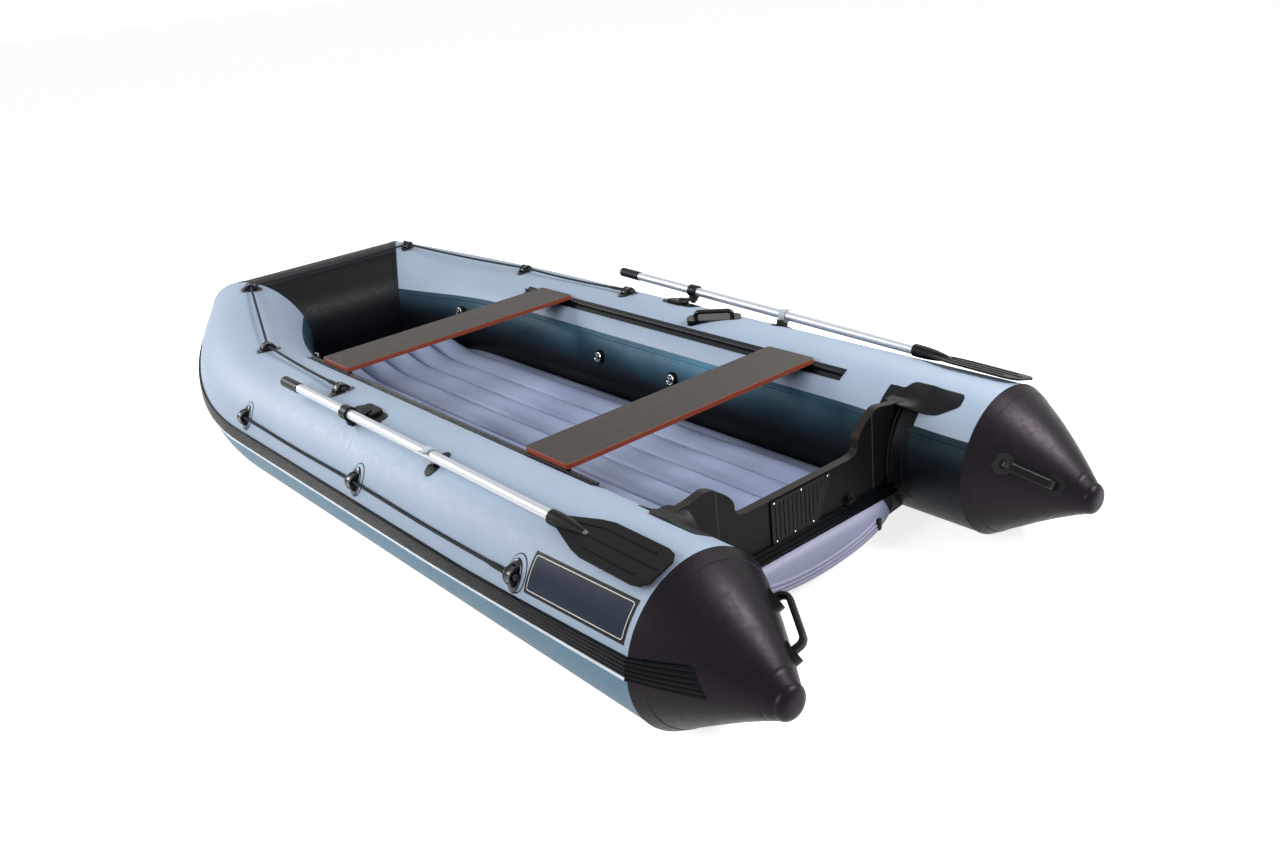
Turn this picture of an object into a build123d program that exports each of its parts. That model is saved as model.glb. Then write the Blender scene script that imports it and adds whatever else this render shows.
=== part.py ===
from build123d import *
from math import sin, cos, radians, degrees, atan2, sqrt
import os

# Inflatable boat with two thwart boards and two stowed oars, in millimetres.
# X points to starboard, Y to the bow and Z up. The origin is on the floor, in the middle of
# the footprint. Almost everything comes in pairs: it is drawn on the starboard side and mirrored.

# ---- driving dimensions ---------------------------------------------------------------------
tube_radius = 218        # buoyancy tubes, 436 mm across
tube_offset = 590        # from the boat's centre line to a tube's axis
seam_y = -1430           # where each tube ends and its stern cone starts
bend_y = 725             # where each tube starts to bend in towards the bow
bend_radius = 1150       # of the tube's axis
bend_angle = 36.5        # how far each bow quarter turns, degrees
bend_rise = 17.5         # the bend lies in a plane that climbs inboard by this, degrees
bend_run = 120           # straight stretch from the bend to the mitre with the bow tube

cone_tip_y = -1690       # rear end of the cone, where its cap is welded on
cone_tip_radius = 44.5
cone_tip_z = 179
cone_cap_length = 25

floor_edge_x = 404       # the floor meets the tubes here
floor_top = 142          # crests of the floor's channels
floor_valley = 124
channel_pitch = 110
floor_tail_y = -1252
floor_bow_y = 1440

transom_aft_y = -1190
transom_thickness = 27
transom_bottom = 128
well_bottom = 296        # lowest edge of the motor cut-out
well_half_width = 185
wing_top = 407

rail_angle = 122         # bench rails, round the tube from its outboard side, degrees
rail_aft_y = -940
rail_fore_y = 724
bead_radius = 4.0
bead_height = 7.0        # bead centre above the tube's skin

bench_half_length = 480
bench_width = 197
bench_thickness = 15
bench_top = 432
fore_bench_y = 417       # rear edge of each bench
aft_bench_y = -825

oar_pivot = Vector(706, -38, 460)
oar_tip = Vector(680.5, -1428, 430.5)
pin_tilt = 15            # the oarlock's pin leans outboard, degrees
shaft_radius = 15.5
pin_radius = 6.0
pin_clearance = 0.08

line_radius = 4.5        # grab lines, 9 mm rope
top_eyelet_y = 250
outer_eyelet_ys = (617, -181, -999)
outer_eyelet_angle = 25

nodes = {}


# ---- helpers ----------------------------------------------------------------------------------
def mirrored(shape):
    return mirror(shape, about=Plane.YZ)


def pair(name, shape):
    nodes["starboard_" + name] = shape
    nodes["port_" + name] = mirrored(shape)


def joined(*shapes):
    whole = shapes[0]
    for shape in shapes[1:]:
        whole = whole + shape
    return whole


def tube_point(angle, y, rise=0.0):
    """A point round the straight starboard tube: 0 degrees is outboard, 90 is the crest."""
    reach = tube_radius + rise
    return Vector(tube_offset + reach * cos(radians(angle)), y, tube_radius + reach * sin(radians(angle)))


def skin_plane(angle, y, rise=0.0):
    """Plane on the tube's skin: x down the outboard side, y forward, z straight out of the skin."""
    out = Vector(cos(radians(angle)), 0, sin(radians(angle)))
    down = Vector(sin(radians(angle)), 0, -cos(radians(angle)))
    return Plane(origin=tube_point(angle, y, rise), x_dir=down, z_dir=out)


def section_plane(y):
    """Cross-section of the starboard tube, with x outboard and y up."""
    return Plane(origin=(tube_offset, y, tube_radius), x_dir=(1, 0, 0), z_dir=(0, -1, 0))


# ---- the bend that both bow quarters and everything on them follow -----------------------------
bend_in = Vector(-cos(radians(bend_rise)), 0, sin(radians(bend_rise)))
bend_start = Vector(tube_offset, bend_y, tube_radius)
bend_up = Vector(sin(radians(bend_rise)), 0, cos(radians(bend_rise)))
bend_axis = Axis(bend_start + bend_in * bend_radius, bend_up)
run_direction = bend_in * sin(radians(bend_angle)) + Vector(0, 1, 0) * cos(radians(bend_angle))
shift_in = bend_radius * (1 - cos(radians(bend_angle))) + bend_run * sin(radians(bend_angle))
shift_fore = bend_radius * sin(radians(bend_angle)) + bend_run * cos(radians(bend_angle))
corner = bend_start + bend_in * shift_in + Vector(0, 1, 0) * shift_fore
mitre_normal = (run_direction + Vector(-1, 0, 0)).normalized()
mitre_plane = Plane(origin=corner, z_dir=mitre_normal)
mitre_waste = extrude(mitre_plane * Rectangle(1600, 1600), 900)
nose_waste = extrude(mitre_plane * Rectangle(1600, 1600), -900)


def round_the_bend(shape, angle, run=0.0):
    """Carry a shape from the start of the bend along the bow quarter."""
    return shape.rotate(bend_axis, angle).moved(Location(run_direction * run))


def quarter(profile):
    """A tube-section profile, drawn x outboard and y up, carried round the bow quarter."""
    face = section_plane(bend_y) * profile
    bent = revolve(face, axis=bend_axis, revolution_arc=bend_angle)
    straight = extrude(round_the_bend(face, bend_angle), bend_run + 260, dir=run_direction)
    return (bent + straight) - mitre_waste


def across_the_bow(profile):
    """The same profile, mitred and carried straight across the bow."""
    face = round_the_bend(section_plane(bend_y) * profile, bend_angle, bend_run)
    face = mirror(face, about=mitre_plane).moved(Location(Vector(1, 0, 0) * 300))
    bar = extrude(face, 2 * corner.X + 600, dir=Vector(-1, 0, 0))
    return bar - nose_waste - mirrored(nose_waste)


def raised(plane, outline, height, start=0.0):
    """Extrude an outline along its plane's own z, from a start above the plane."""
    return extrude(plane.offset(start) * outline, height, dir=plane.z_dir)


def straight_run(profile, rear_y, front_y):
    return raised(section_plane(front_y), profile, front_y - rear_y)


def band_profile(low_angle, high_angle, thickness, base=0.0):
    """Strip lying on the tube's skin between two angles."""
    ring = Circle(tube_radius + base + thickness) - Circle(tube_radius + base)
    reach = 2 * tube_radius
    middle = radians((low_angle + high_angle) / 2)
    wedge = Polygon(
        (0, 0),
        (reach * cos(radians(low_angle)), reach * sin(radians(low_angle))),
        (reach * cos(middle), reach * sin(middle)),
        (reach * cos(radians(high_angle)), reach * sin(radians(high_angle))),
        align=None,
    )
    return ring & wedge


def skin_patch(outline, angle, y, thickness, length=420):
    """A sheet of the given outline, bent onto the tube's skin."""
    shell = straight_run(Circle(tube_radius + thickness) - Circle(tube_radius), y - length / 2, y + length / 2)
    return shell & raised(skin_plane(angle, y), outline, 70 + thickness, -40)


# ---- tubes, bow and stern cones ------------------------------------------------------------------
side_tube = straight_run(Circle(tube_radius), seam_y, bend_y)
bow_quarter = quarter(Circle(tube_radius))
bow_tube = across_the_bow(Circle(tube_radius))
pair("tube", side_tube)
pair("bow_quarter", bow_quarter)
nodes["bow_tube"] = bow_tube


def cone_ring(y, radius, z):
    return Plane(origin=(tube_offset, y, z), x_dir=(1, 0, 0), z_dir=(0, -1, 0)) * Circle(radius)


def stern_cone(extra=0.0):
    """The stern cone: full round at the seam and drawn in to a small tip that sits a little lower."""
    return loft([
        cone_ring(seam_y, tube_radius + extra, tube_radius),
        cone_ring(seam_y - 95, 160 + extra, 214),
        cone_ring(seam_y - 185, 98 + extra, 200),
        cone_ring(cone_tip_y, cone_tip_radius + extra, cone_tip_z),
    ])


cone = stern_cone()
pair("cone", cone)

# The cap is a moulded cup over the cone's tip, with a rounded end.
cap_round = 19
cap = Cylinder(cone_tip_radius + 0.5, cone_cap_length)
cap = fillet(cap.faces().sort_by(Axis.Z)[0].edges(), cap_round)
cap_place = Location((tube_offset, cone_tip_y - cone_cap_length / 2, cone_tip_z), (90, 0, 0))
cap = cap_place * cap.rotate(Axis.X, 180)
pair("cone_cap", cap)

# ---- rub rail: a ribbed band round the outside of the whole boat -----------------------------------
rub_low, rub_high = -2.0, 14.0
rub_base, rub_rib = 5.0, 5.0
rub_ribs = 6


def rub_profile():
    profile = band_profile(rub_low, rub_high, rub_base)
    pitch = (rub_high - rub_low) / rub_ribs
    for rib in range(rub_ribs):
        low = rub_low + pitch * (rib + 0.2)
        profile = profile + band_profile(low, low + pitch * 0.6, rub_rib + 1, rub_base - 1)
    return profile


rub_section = rub_profile()
rail_low_z = tube_radius + (tube_radius + rub_base) * sin(radians(rub_low))
rail_high_z = tube_radius + (tube_radius + rub_base) * sin(radians(rub_high))
rail_side = Plane.YZ * Polygon(
    (seam_y, rail_low_z),
    (seam_y, rail_high_z),
    (seam_y - 118, rail_high_z),
    (seam_y - 150, rail_low_z - 14),
    align=None,
)
rail_prism = extrude(rail_side.moved(Location((tube_offset, 0, 0))), 400, dir=Vector(1, 0, 0))
rail_tail = (stern_cone(7) - cone) & rail_prism
pair("rub_rail", straight_run(rub_section, seam_y, bend_y))
pair("rub_rail_tail", rail_tail)
pair("bow_quarter_rail", quarter(rub_section))
nodes["bow_rail"] = across_the_bow(rub_section)

# ---- inflatable floor ----------------------------------------------------------------------------------
keel_z = 6
keel_slope = 0.11


def floor_profile():
    """Cross-section of the floor: round-topped channels over a shallow vee."""
    crest = floor_top - floor_valley
    edge_z = 106
    with BuildSketch() as sketch:
        with BuildLine():
            x = -3 * channel_pitch
            Line((-floor_edge_x, edge_z), (x, floor_valley))
            while x < 3 * channel_pitch:
                ThreePointArc(
                    (x, floor_valley),
                    (x + channel_pitch / 2, floor_valley + crest),
                    (x + channel_pitch, floor_valley),
                )
                x += channel_pitch
            Line((3 * channel_pitch, floor_valley), (floor_edge_x, edge_z))
            Line((floor_edge_x, edge_z), (floor_edge_x + 60, keel_z + keel_slope * (floor_edge_x + 60)))
            Line((floor_edge_x + 60, keel_z + keel_slope * (floor_edge_x + 60)), (0, keel_z))
            Line((0, keel_z), (-floor_edge_x - 60, keel_z + keel_slope * (floor_edge_x + 60)))
            Line((-floor_edge_x - 60, keel_z + keel_slope * (floor_edge_x + 60)), (-floor_edge_x, edge_z))
        make_face()
    return sketch.sketch


across_plane = Plane(origin=(0, floor_bow_y, 0), x_dir=(1, 0, 0), z_dir=(0, -1, 0))
inflatable_floor = raised(across_plane, floor_profile(), floor_bow_y - transom_aft_y - 12)
# The bottom climbs towards the bow.
climb = Polygon(
    (640, -60), (floor_bow_y + 40, -60), (floor_bow_y + 40, 106), (1310, 74),
    (1180, 46), (1060, 26), (820, 6), (640, 0), align=None,
)
inflatable_floor = inflatable_floor - extrude(Plane.YZ * climb, 900, both=True)
all_tubes = [side_tube, bow_quarter, bow_tube, mirrored(side_tube), mirrored(bow_quarter)]
for tube in all_tubes:
    inflatable_floor = inflatable_floor - tube

# Behind the transom the floor ends in a tail that rolls over and down to a welded seam strip.
# Seen from astern its lower edge is a shallow bowl.
tail_half_width = 335
tail_top = 145
tail_side = Polygon(
    (transom_aft_y - 12, 30),
    (transom_aft_y - 12, tail_top),
    (transom_aft_y - 38, tail_top - 18),
    (floor_tail_y + 4, 92),
    (floor_tail_y, 74),
    (floor_tail_y, 30),
    align=None,
)
floor_tail = extrude(Plane.YZ * tail_side, tail_half_width, both=True)
bowl = [(0, 46), (125, 54), (240, 77), (306, 110), (340, 136)]
port_bowl = [(-x, z) for x, z in reversed(bowl)]
under = Polygon(*port_bowl, *bowl[1:], (400, 136), (400, -50), (-400, -50), (-400, 136), align=None)
floor_tail = floor_tail - raised(Plane(origin=(0, -1100, 0), x_dir=(1, 0, 0), z_dir=(0, -1, 0)), under, 300)
for tube in (side_tube, mirrored(side_tube)):
    floor_tail = floor_tail - tube
nodes["floor_tail"] = floor_tail

# ---- transom ------------------------------------------------------------------------------------------
holder_thickness = 3.0
board_reach = tube_radius + holder_thickness
transom_plane = Plane(origin=(0, transom_aft_y, 0), x_dir=(1, 0, 0), z_dir=(0, -1, 0))


def transom_outline():
    """Board with a deep motor well between two raised wings that lean on the tubes."""
    wing_end = wing_top - 15
    wing_out = tube_offset - sqrt(board_reach ** 2 - (wing_end - tube_radius) ** 2)
    low_x = tube_offset - sqrt(board_reach ** 2 - (tube_radius - transom_bottom) ** 2)
    with BuildSketch() as sketch:
        with BuildLine():
            Line((0, transom_bottom), (low_x, transom_bottom))
            ThreePointArc(
                (low_x, transom_bottom),
                (tube_offset - board_reach * cos(radians(8)), tube_radius + board_reach * sin(radians(8))),
                (wing_out, wing_end),
            )
            Line((wing_out, wing_end), (385, wing_top - 9))
            Spline(
                (385, wing_top - 9),
                (328, wing_top),
                (282, wing_top - 22),
                (240, wing_top - 70),
                (well_half_width, well_bottom),
                tangents=[(-1, 0.12), (-1, 0)],
            )
            Line((well_half_width, well_bottom), (0, well_bottom))
            Line((0, well_bottom), (0, transom_bottom))
        make_face()
    half = sketch.sketch
    return half + mirror(half, about=Plane.YZ)


transom = raised(transom_plane, transom_outline(), transom_thickness, -transom_thickness)
drain_x, drain_z = 190, 178
drain_hole = Location((drain_x, transom_aft_y, drain_z), (90, 0, 0)) * Cylinder(16, 80)
transom = transom - drain_hole
nodes["transom"] = transom
inflatable_floor = inflatable_floor - transom
nodes["inflatable_floor"] = inflatable_floor

# Ribbed rubber plates take the motor's clamps, one on each face.
plate_half_width, plate_top, plate_bottom, plate_thickness = 116, 291, 166, 5
plate_face = Polygon(
    (-plate_half_width, plate_bottom), (-plate_half_width, plate_top), (plate_half_width, plate_top),
    (plate_half_width, plate_top - 22), (plate_half_width - 54, plate_bottom), align=None,
)
plate_face = fillet(plate_face.vertices(), 5)
motor_plate = raised(transom_plane, plate_face, plate_thickness)
rib_count = 13
rib_pitch = 2 * (plate_half_width - 10) / rib_count
for rib in range(rib_count):
    rib_x = -plate_half_width + 10 + rib_pitch * (rib + 0.5)
    rib_foot = plate_bottom + 11 + 2.0 * max(0, rib_x + rib_pitch / 2 - (plate_half_width - 66))
    rib_face = Pos(rib_x, (plate_top - 11 + rib_foot) / 2) * Rectangle(rib_pitch * 0.45, plate_top - 11 - rib_foot)
    motor_plate = motor_plate + raised(transom_plane, rib_face, plate_thickness + 1.5)
nodes["motor_plate"] = motor_plate
inner_plane = Plane(origin=(0, transom_aft_y + transom_thickness, 0), x_dir=(-1, 0, 0), z_dir=(0, 1, 0))
nodes["clamp_plate"] = raised(inner_plane, Pos(0, 246) * RectangleRounded(200, 84, 6), plate_thickness)

# The base profile: a stepped extrusion along the board's foot, over the floor's tail.
base_profile = Polygon(
    (transom_aft_y, 128), (transom_aft_y, 166), (transom_aft_y - 6, 166), (transom_aft_y - 10, 158),
    (transom_aft_y - 16, 158), (transom_aft_y - 20, 150), (transom_aft_y - 26, 150), (transom_aft_y - 30, 140),
    (transom_aft_y - 24, tail_top - 5), (transom_aft_y - 12, tail_top), (transom_aft_y - 12, 128), align=None,
)
base_half_width = 372
transom_base = extrude(Plane.YZ * base_profile, base_half_width, both=True)
transom_base = transom_base - floor_tail - drain_hole
for tube in (side_tube, mirrored(side_tube)):
    transom_base = transom_base - tube
nodes["transom_base"] = transom_base

# The drain: a flanged socket through the board with a screwed plug and a grip bar.
drain_face = Plane(origin=(drain_x, transom_aft_y, drain_z), x_dir=(1, 0, 0), z_dir=(0, -1, 0))
plug = raised(drain_face, Circle(21), 4) + raised(drain_face, Circle(15), transom_thickness, -transom_thickness)
plug = plug + raised(drain_face, Circle(14), 9) + raised(drain_face, RectangleRounded(26, 6, 2.5), 16)
nodes["drain_plug"] = plug - transom_base

# Holders: fabric bands glued round the tubes, with two lips that grip the board's edge.
holder_low, holder_high = 119, 207
holder_band = band_profile(holder_low, holder_high, holder_thickness)
holder = straight_run(holder_band, transom_aft_y - 58, transom_aft_y + 78)
lip = band_profile(holder_low + 4, holder_high - 4, 18, holder_thickness)
holder = holder + straight_run(lip, transom_aft_y - 8, transom_aft_y)
holder = holder + straight_run(lip, transom_aft_y + transom_thickness, transom_aft_y + transom_thickness + 8)
holder = holder - inflatable_floor - floor_tail - transom_base - transom
pair("transom_holder", holder)

# A flap of heavy fabric runs from each wing over the top of the tube.
flap_angle, flap_y = 124, -1266
flap_outline = Polygon(
    (-36, 130), (6, 118), (26, 96), (46, 92), (50, 84), (50, -82),
    (5, -92), (-39, -38), (-47, 12), (-46, 110), align=None,
)
pair("transom_flap", skin_patch(flap_outline, flap_angle, flap_y, 6.5) - holder - transom)

# ---- bench rails -----------------------------------------------------------------------------------------
strip_half_width = 22
strip_thickness = 1.5
rail_spread = degrees(strip_half_width / tube_radius)
strip = band_profile(rail_angle - rail_spread, rail_angle + rail_spread, strip_thickness)
out_x, out_z = cos(radians(rail_angle)), sin(radians(rail_angle))
bead_reach = tube_radius + bead_height
neck = Rot(0, 0, rail_angle) * (Pos(tube_radius + bead_height / 2 + 0.5, 0) * Rectangle(bead_height - 1, 2.4))
bead = Pos(bead_reach * out_x, bead_reach * out_z) * Circle(bead_radius)
pair("bench_rail", straight_run(strip + neck + bead, rail_aft_y, rail_fore_y))

# ---- benches: plywood boards with a grooved runner under each end ---------------------------------------------
runner_bore = 4.6
runner_radius = 7.5
bead_x = tube_offset + bead_reach * out_x
bead_z = tube_radius + bead_reach * out_z
bench_bottom = bench_top - bench_thickness


def runner_profile():
    """C-section round the bead, hanging from a foot screwed under the board."""
    centre = Pos(bead_x, bead_z)
    foot = Pos(bead_x - 12, bench_bottom - 1.25) * Rectangle(40, 2.5)
    shell = centre * Circle(runner_radius)
    web = Pos(bead_x, (bead_z + bench_bottom) / 2) * Rectangle(9, bench_bottom - bead_z)
    mouth = centre * (Rot(0, 0, rail_angle) * (Pos(-13.4, 0) * Rectangle(20, 40)))
    whole = (foot + shell + web) & (Pos(bead_x, bench_bottom - 25) * Rectangle(120, 50))
    return whole - centre * Circle(runner_bore) - mouth


def bench(rear_y):
    board = Pos(0, rear_y + bench_width / 2, bench_bottom + bench_thickness / 2) * Box(
        2 * bench_half_length, bench_width, bench_thickness)
    board = fillet(board.edges().filter_by(Axis.Z), 12)
    board = chamfer(board.edges().group_by(Axis.Z)[-1], 1.2)
    plane = Plane(origin=(0, rear_y + bench_width - 8, 0), x_dir=(1, 0, 0), z_dir=(0, -1, 0))
    runner = raised(plane, runner_profile(), bench_width - 16)
    return board, Compound(children=[runner, mirrored(runner)])


for name, rear_y in (("fore", fore_bench_y), ("aft", aft_bench_y)):
    board, runners = bench(rear_y)
    nodes[name + "_bench"] = board
    nodes[name + "_bench_runners"] = runners

# ---- oars -------------------------------------------------------------------------------------------------
oar_line = (oar_tip - oar_pivot).normalized()
pin_lean = Vector(sin(radians(pin_tilt)), 0, cos(radians(pin_tilt)))
pin_axis = (pin_lean - oar_line * pin_lean.dot(oar_line)).normalized()
swing_out = oar_line.cross(pin_axis)
if swing_out.X < 0:
    swing_out = -swing_out
oar_frame = Plane(origin=oar_pivot, x_dir=swing_out, z_dir=oar_line)   # z runs aft along the oar
pin_frame = Plane(origin=oar_pivot, x_dir=swing_out, z_dir=-pin_axis)  # z runs down the pin

grip_start, grip_end = 312, 424
neck_at = 1010
oar_length = (oar_tip - oar_pivot).length


def along_oar(start, profile, length):
    return raised(oar_frame, profile, length, start)


shaft = along_oar(-grip_start - 30, Circle(shaft_radius), grip_start + 30 + neck_at + 40)
pair("oar_shaft", shaft)
grip = along_oar(-grip_end, Circle(17.5), grip_end - grip_start)
grip = fillet(grip.edges().filter_by(GeomType.CIRCLE), 5)
pair("oar_grip", grip - shaft)

blade_normal_angle = 74
blade_up = Vector(cos(radians(blade_normal_angle)), 0, sin(radians(blade_normal_angle)))
blade_up = (blade_up - oar_line * blade_up.dot(oar_line)).normalized()
blade_frame = Plane(origin=oar_pivot, x_dir=oar_line, z_dir=blade_up)
blade_half_width = 61
blade_thickness = 6


def oar_blade():
    """Flat moulded blade: long tapered shoulders, cut corners, a tapered socket and bent stiffening ribs."""
    tip = oar_length - 2
    half_outline = [
        (neck_at + 12, 13), (neck_at + 70, 34), (neck_at + 125, 53), (neck_at + 165, blade_half_width),
        (tip - 38, blade_half_width), (tip - 14, blade_half_width - 6), (tip, blade_half_width - 26),
    ]
    outline = Polygon(*half_outline, *[(x, -v) for x, v in reversed(half_outline)], align=None)
    sheet = extrude(blade_frame * outline, blade_thickness / 2, both=True)
    socket = loft([
        oar_frame.offset(neck_at - 6) * Circle(19.5),
        oar_frame.offset(neck_at + 60) * Circle(17.5),
        oar_frame.offset(neck_at + 130) * Circle(6),
    ])
    ribs = []
    for side in (-1, 1):
        rib = Polygon(
            (neck_at + 62, side * 13), (neck_at + 62, side * 17), (neck_at + 152, side * 37.5),
            (tip - 50, side * 37.5), (tip - 50, side * 33.5), (neck_at + 154, side * 33.5), align=None,
        )
        ribs.append(extrude(blade_frame * rib, blade_thickness / 2 + 1.8, both=True))
    spine = Pos((neck_at + 60 + tip - 12) / 2, 0) * SlotOverall(tip - 12 - neck_at - 60, 5)
    ribs.append(extrude(blade_frame * spine, blade_thickness / 2 + 1.8, both=True))
    return joined(sheet, socket, *ribs) - shaft


pair("oar_blade", oar_blade())

# The oar's collar carries the pin, which drops through the oarlock's horn and ends in a knob.
foot_bottom, horn_top, horn_bottom, knob_top, knob_bottom = 26.0, 27.0, 35.0, 35.5, 43.5
collar = along_oar(-18, Circle(22.5), 36)
collar = collar + raised(pin_frame, RectangleRounded(26, 30, 5), foot_bottom - 8, 8)
collar = collar + raised(pin_frame, Circle(pin_radius), knob_bottom - 20, 20)
collar = collar + raised(pin_frame, Circle(10), knob_bottom - knob_top, knob_top)
pair("oar_collar", collar - shaft)

# Oarlock: a padded base on the tube's crest, a moulded body and the horn that reaches outboard.
lock_angle, lock_y = 80, -30
lock_pad_outline = Polygon(
    (-20, 62), (4, 85), (30, 88), (44, 60), (44, -58), (30, -88), (0, -85), (-14, -77), (-20, -62), align=None,
)
lock_pad = skin_patch(lock_pad_outline, lock_angle, lock_y, 3.0)
body_plane = skin_plane(lock_angle, lock_y, 0)
lock_body = raised(body_plane, RectangleRounded(46, 92, 18), 20, -6)
top_edges = lock_body.edges().filter_by(lambda edge: edge.center().dot(body_plane.z_dir) >
                                        body_plane.offset(13).origin.dot(body_plane.z_dir))
lock_body = fillet(top_edges, 5)
horn = raised(pin_frame, Pos(-26, 0) * SlotOverall(84, 32), horn_bottom - horn_top, horn_top)
lock = lock_pad + (lock_body + horn - side_tube)
lock = lock - raised(pin_frame, Circle(pin_radius + pin_clearance), 14, horn_top - 2)
pair("oarlock", lock)

# Spring clip: a channel open outboard that the shaft snaps into, on its own pad.
clip_at = 458
clip_length = 24
clip_frame = oar_frame.offset(clip_at - clip_length / 2)
up_sign = 1 if clip_frame.y_dir.dot(pin_axis) > 0 else -1
clip_bore = shaft_radius + 1.0
clip_wall = 4.0
jaw = Circle(clip_bore + clip_wall) + Pos(9, 0) * Rectangle(18, 2 * (clip_bore + clip_wall))
jaw = jaw - Circle(clip_bore) - Pos(30, 0) * Rectangle(60, 2 * clip_bore)
clip_foot = Polygon(
    (-22, -14 * up_sign), (-22, -46 * up_sign), (8, -46 * up_sign), (8, -19 * up_sign), (-6, -19 * up_sign),
    align=None,
)
clip = raised(clip_frame, jaw + clip_foot, clip_length)
clip_centre = oar_pivot + oar_line * clip_at
clip_angle = degrees(atan2(clip_centre.Z - tube_radius, clip_centre.X - tube_offset))
clip_pad = skin_patch(Pos(-2, 0) * Ellipse(46, 25), clip_angle, clip_centre.Y, 3.0)
clip = (clip - side_tube) + clip_pad
pair("oar_clip", clip)

# ---- eyelets and grab lines -------------------------------------------------------------------------------
eyelet_hole = 6.5
hole_height = 13.0


def eyelet(angle, y, length=24, pad_length=25):
    """Hooded fairlead on a lens-shaped pad: the rope passes through fore and aft."""
    pad = skin_patch(Ellipse(40, pad_length), angle, y, 2.5, 120)
    face = Plane(origin=tube_point(angle, y + length / 2), x_dir=skin_plane(angle, y).x_dir, z_dir=(0, -1, 0))
    flip = 1 if face.y_dir.dot(skin_plane(angle, y).z_dir) > 0 else -1
    hood = Polygon(
        (-27, flip * -14), (-27, flip * 2), (-12, flip * 20), (-6, flip * 25), (6, flip * 25), (12, flip * 20),
        (27, flip * 2), (27, flip * -14), align=None,
    )
    hood = raised(face, hood, length) - straight_run(Circle(tube_radius), y - 40, y + 40)
    bore_start = Plane(origin=tube_point(angle, y + 60, hole_height), z_dir=(0, -1, 0))
    bore = extrude(bore_start * Circle(eyelet_hole), 120)
    return (pad + hood) - bore


def rope(points, bend_radii, radius=line_radius):
    path = FilletPolyline(*points, radius=bend_radii)
    return sweep(Plane(origin=path @ 0, z_dir=path % 0) * Circle(radius), path=path)


outer_eyelets = [eyelet(outer_eyelet_angle, y, 24, 30) for y in outer_eyelet_ys]
pair("outer_eyelets", Compound(children=outer_eyelets))
outer_ends = [tube_point(outer_eyelet_angle, outer_eyelet_ys[0] + 20, hole_height),
              tube_point(outer_eyelet_angle, outer_eyelet_ys[-1] - 20, hole_height)]
outer_line = extrude(Plane(origin=outer_ends[0], z_dir=(0, -1, 0)) * Circle(line_radius),
                     outer_eyelet_ys[0] - outer_eyelet_ys[-1] + 40)
outer_line = outer_line + Pos(*outer_ends[0]) * Sphere(9) + Pos(*outer_ends[1]) * Sphere(9)
pair("outer_line", outer_line)

top_angle = 91
mid_turn = 7.25
corner_run = 62
mid_eyelet = round_the_bend(eyelet(top_angle, bend_y), mid_turn)
corner_eyelet = round_the_bend(eyelet(top_angle + 4, bend_y, 16), bend_angle, corner_run)
aft_eyelet = eyelet(top_angle, top_eyelet_y)
top_eyelets = [aft_eyelet, mid_eyelet - bow_quarter - side_tube, corner_eyelet - bow_quarter - bow_tube]


def hole_centre(angle, turn, run=0.0):
    return round_the_bend(Vertex(*tube_point(angle, bend_y, hole_height)), turn, run).center()


end_point = tube_point(top_angle, top_eyelet_y - 20, hole_height)
mid_point = hole_centre(top_angle, mid_turn)
corner_point = hole_centre(top_angle + 4, bend_angle, corner_run)
starboard_points = [end_point, mid_point, corner_point]
port_points = [Vector(-point.X, point.Y, point.Z) for point in reversed(starboard_points)]
top_route = starboard_points + port_points
top_bends = [60, 22, 22, 60]
top_space = rope(top_route, top_bends, line_radius + 1)
top_eyelets = [one - top_space for one in top_eyelets]
nodes["top_eyelets"] = Compound(children=top_eyelets + [mirrored(one) for one in top_eyelets])
top_line = rope(top_route, top_bends)
top_line = top_line + Pos(*end_point) * Sphere(9) + Pos(*port_points[-1]) * Sphere(9)
nodes["top_line"] = top_line

# ---- handles, valves and the bow ring ---------------------------------------------------------------------
cone_handle_ends = (Vector(441, -1516, 286), Vector(506, -1626, 229))
cone_handle_out = Vector(-0.80, -0.33, 0.50).normalized()


def bar_handle(first, last, out, height, section, sink=30):
    """Bar of the given section, bent down at both ends."""
    lift = out * height
    points = [first - out * sink, first + lift, last + lift, last - out * sink]
    path = FilletPolyline(*points, radius=height * 0.6)
    across = out.cross(last - first).normalized()
    return sweep(Plane(origin=path @ 0, x_dir=across, z_dir=path % 0) * section, path=path)


cone_handle = bar_handle(*cone_handle_ends, cone_handle_out, 36, RectangleRounded(26, 15, 7))
for foot in cone_handle_ends:
    cone_handle = cone_handle + raised(Plane(origin=foot, z_dir=cone_handle_out), Circle(30), 40, -33)
pair("cone_handle", cone_handle - cone)

carry_plane = skin_plane(94, -276, 0).rotated((0, 0, 40))
carry_base = raised(carry_plane, RectangleRounded(62, 190, 28), 34, -30) - side_tube
carry_ends = [carry_plane.from_local_coords(Vector(0, end * 64, 0)) for end in (-1, 1)]
carry_bar = bar_handle(carry_ends[0], carry_ends[1], carry_plane.z_dir, 25, Circle(8), 6) - side_tube
nodes["carry_handle"] = carry_base + carry_bar

valve_angle = 167.5


def valve(angle, y):
    """Flat air valve: flange, cap and grip bar, on the tube's inboard side."""
    plane = skin_plane(angle, y)
    body = raised(plane, Circle(27), 15, -12) + raised(plane, Circle(19), 9)
    body = body + raised(plane, RectangleRounded(8, 34, 3), 15)
    return body - straight_run(Circle(tube_radius), y - 60, y + 60)


valves = [valve(valve_angle, 146), valve(valve_angle, -256)]
valves.append(round_the_bend(valve(valve_angle - 4, bend_y), 19) - bow_quarter)
pair("valves", Compound(children=valves))

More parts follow.
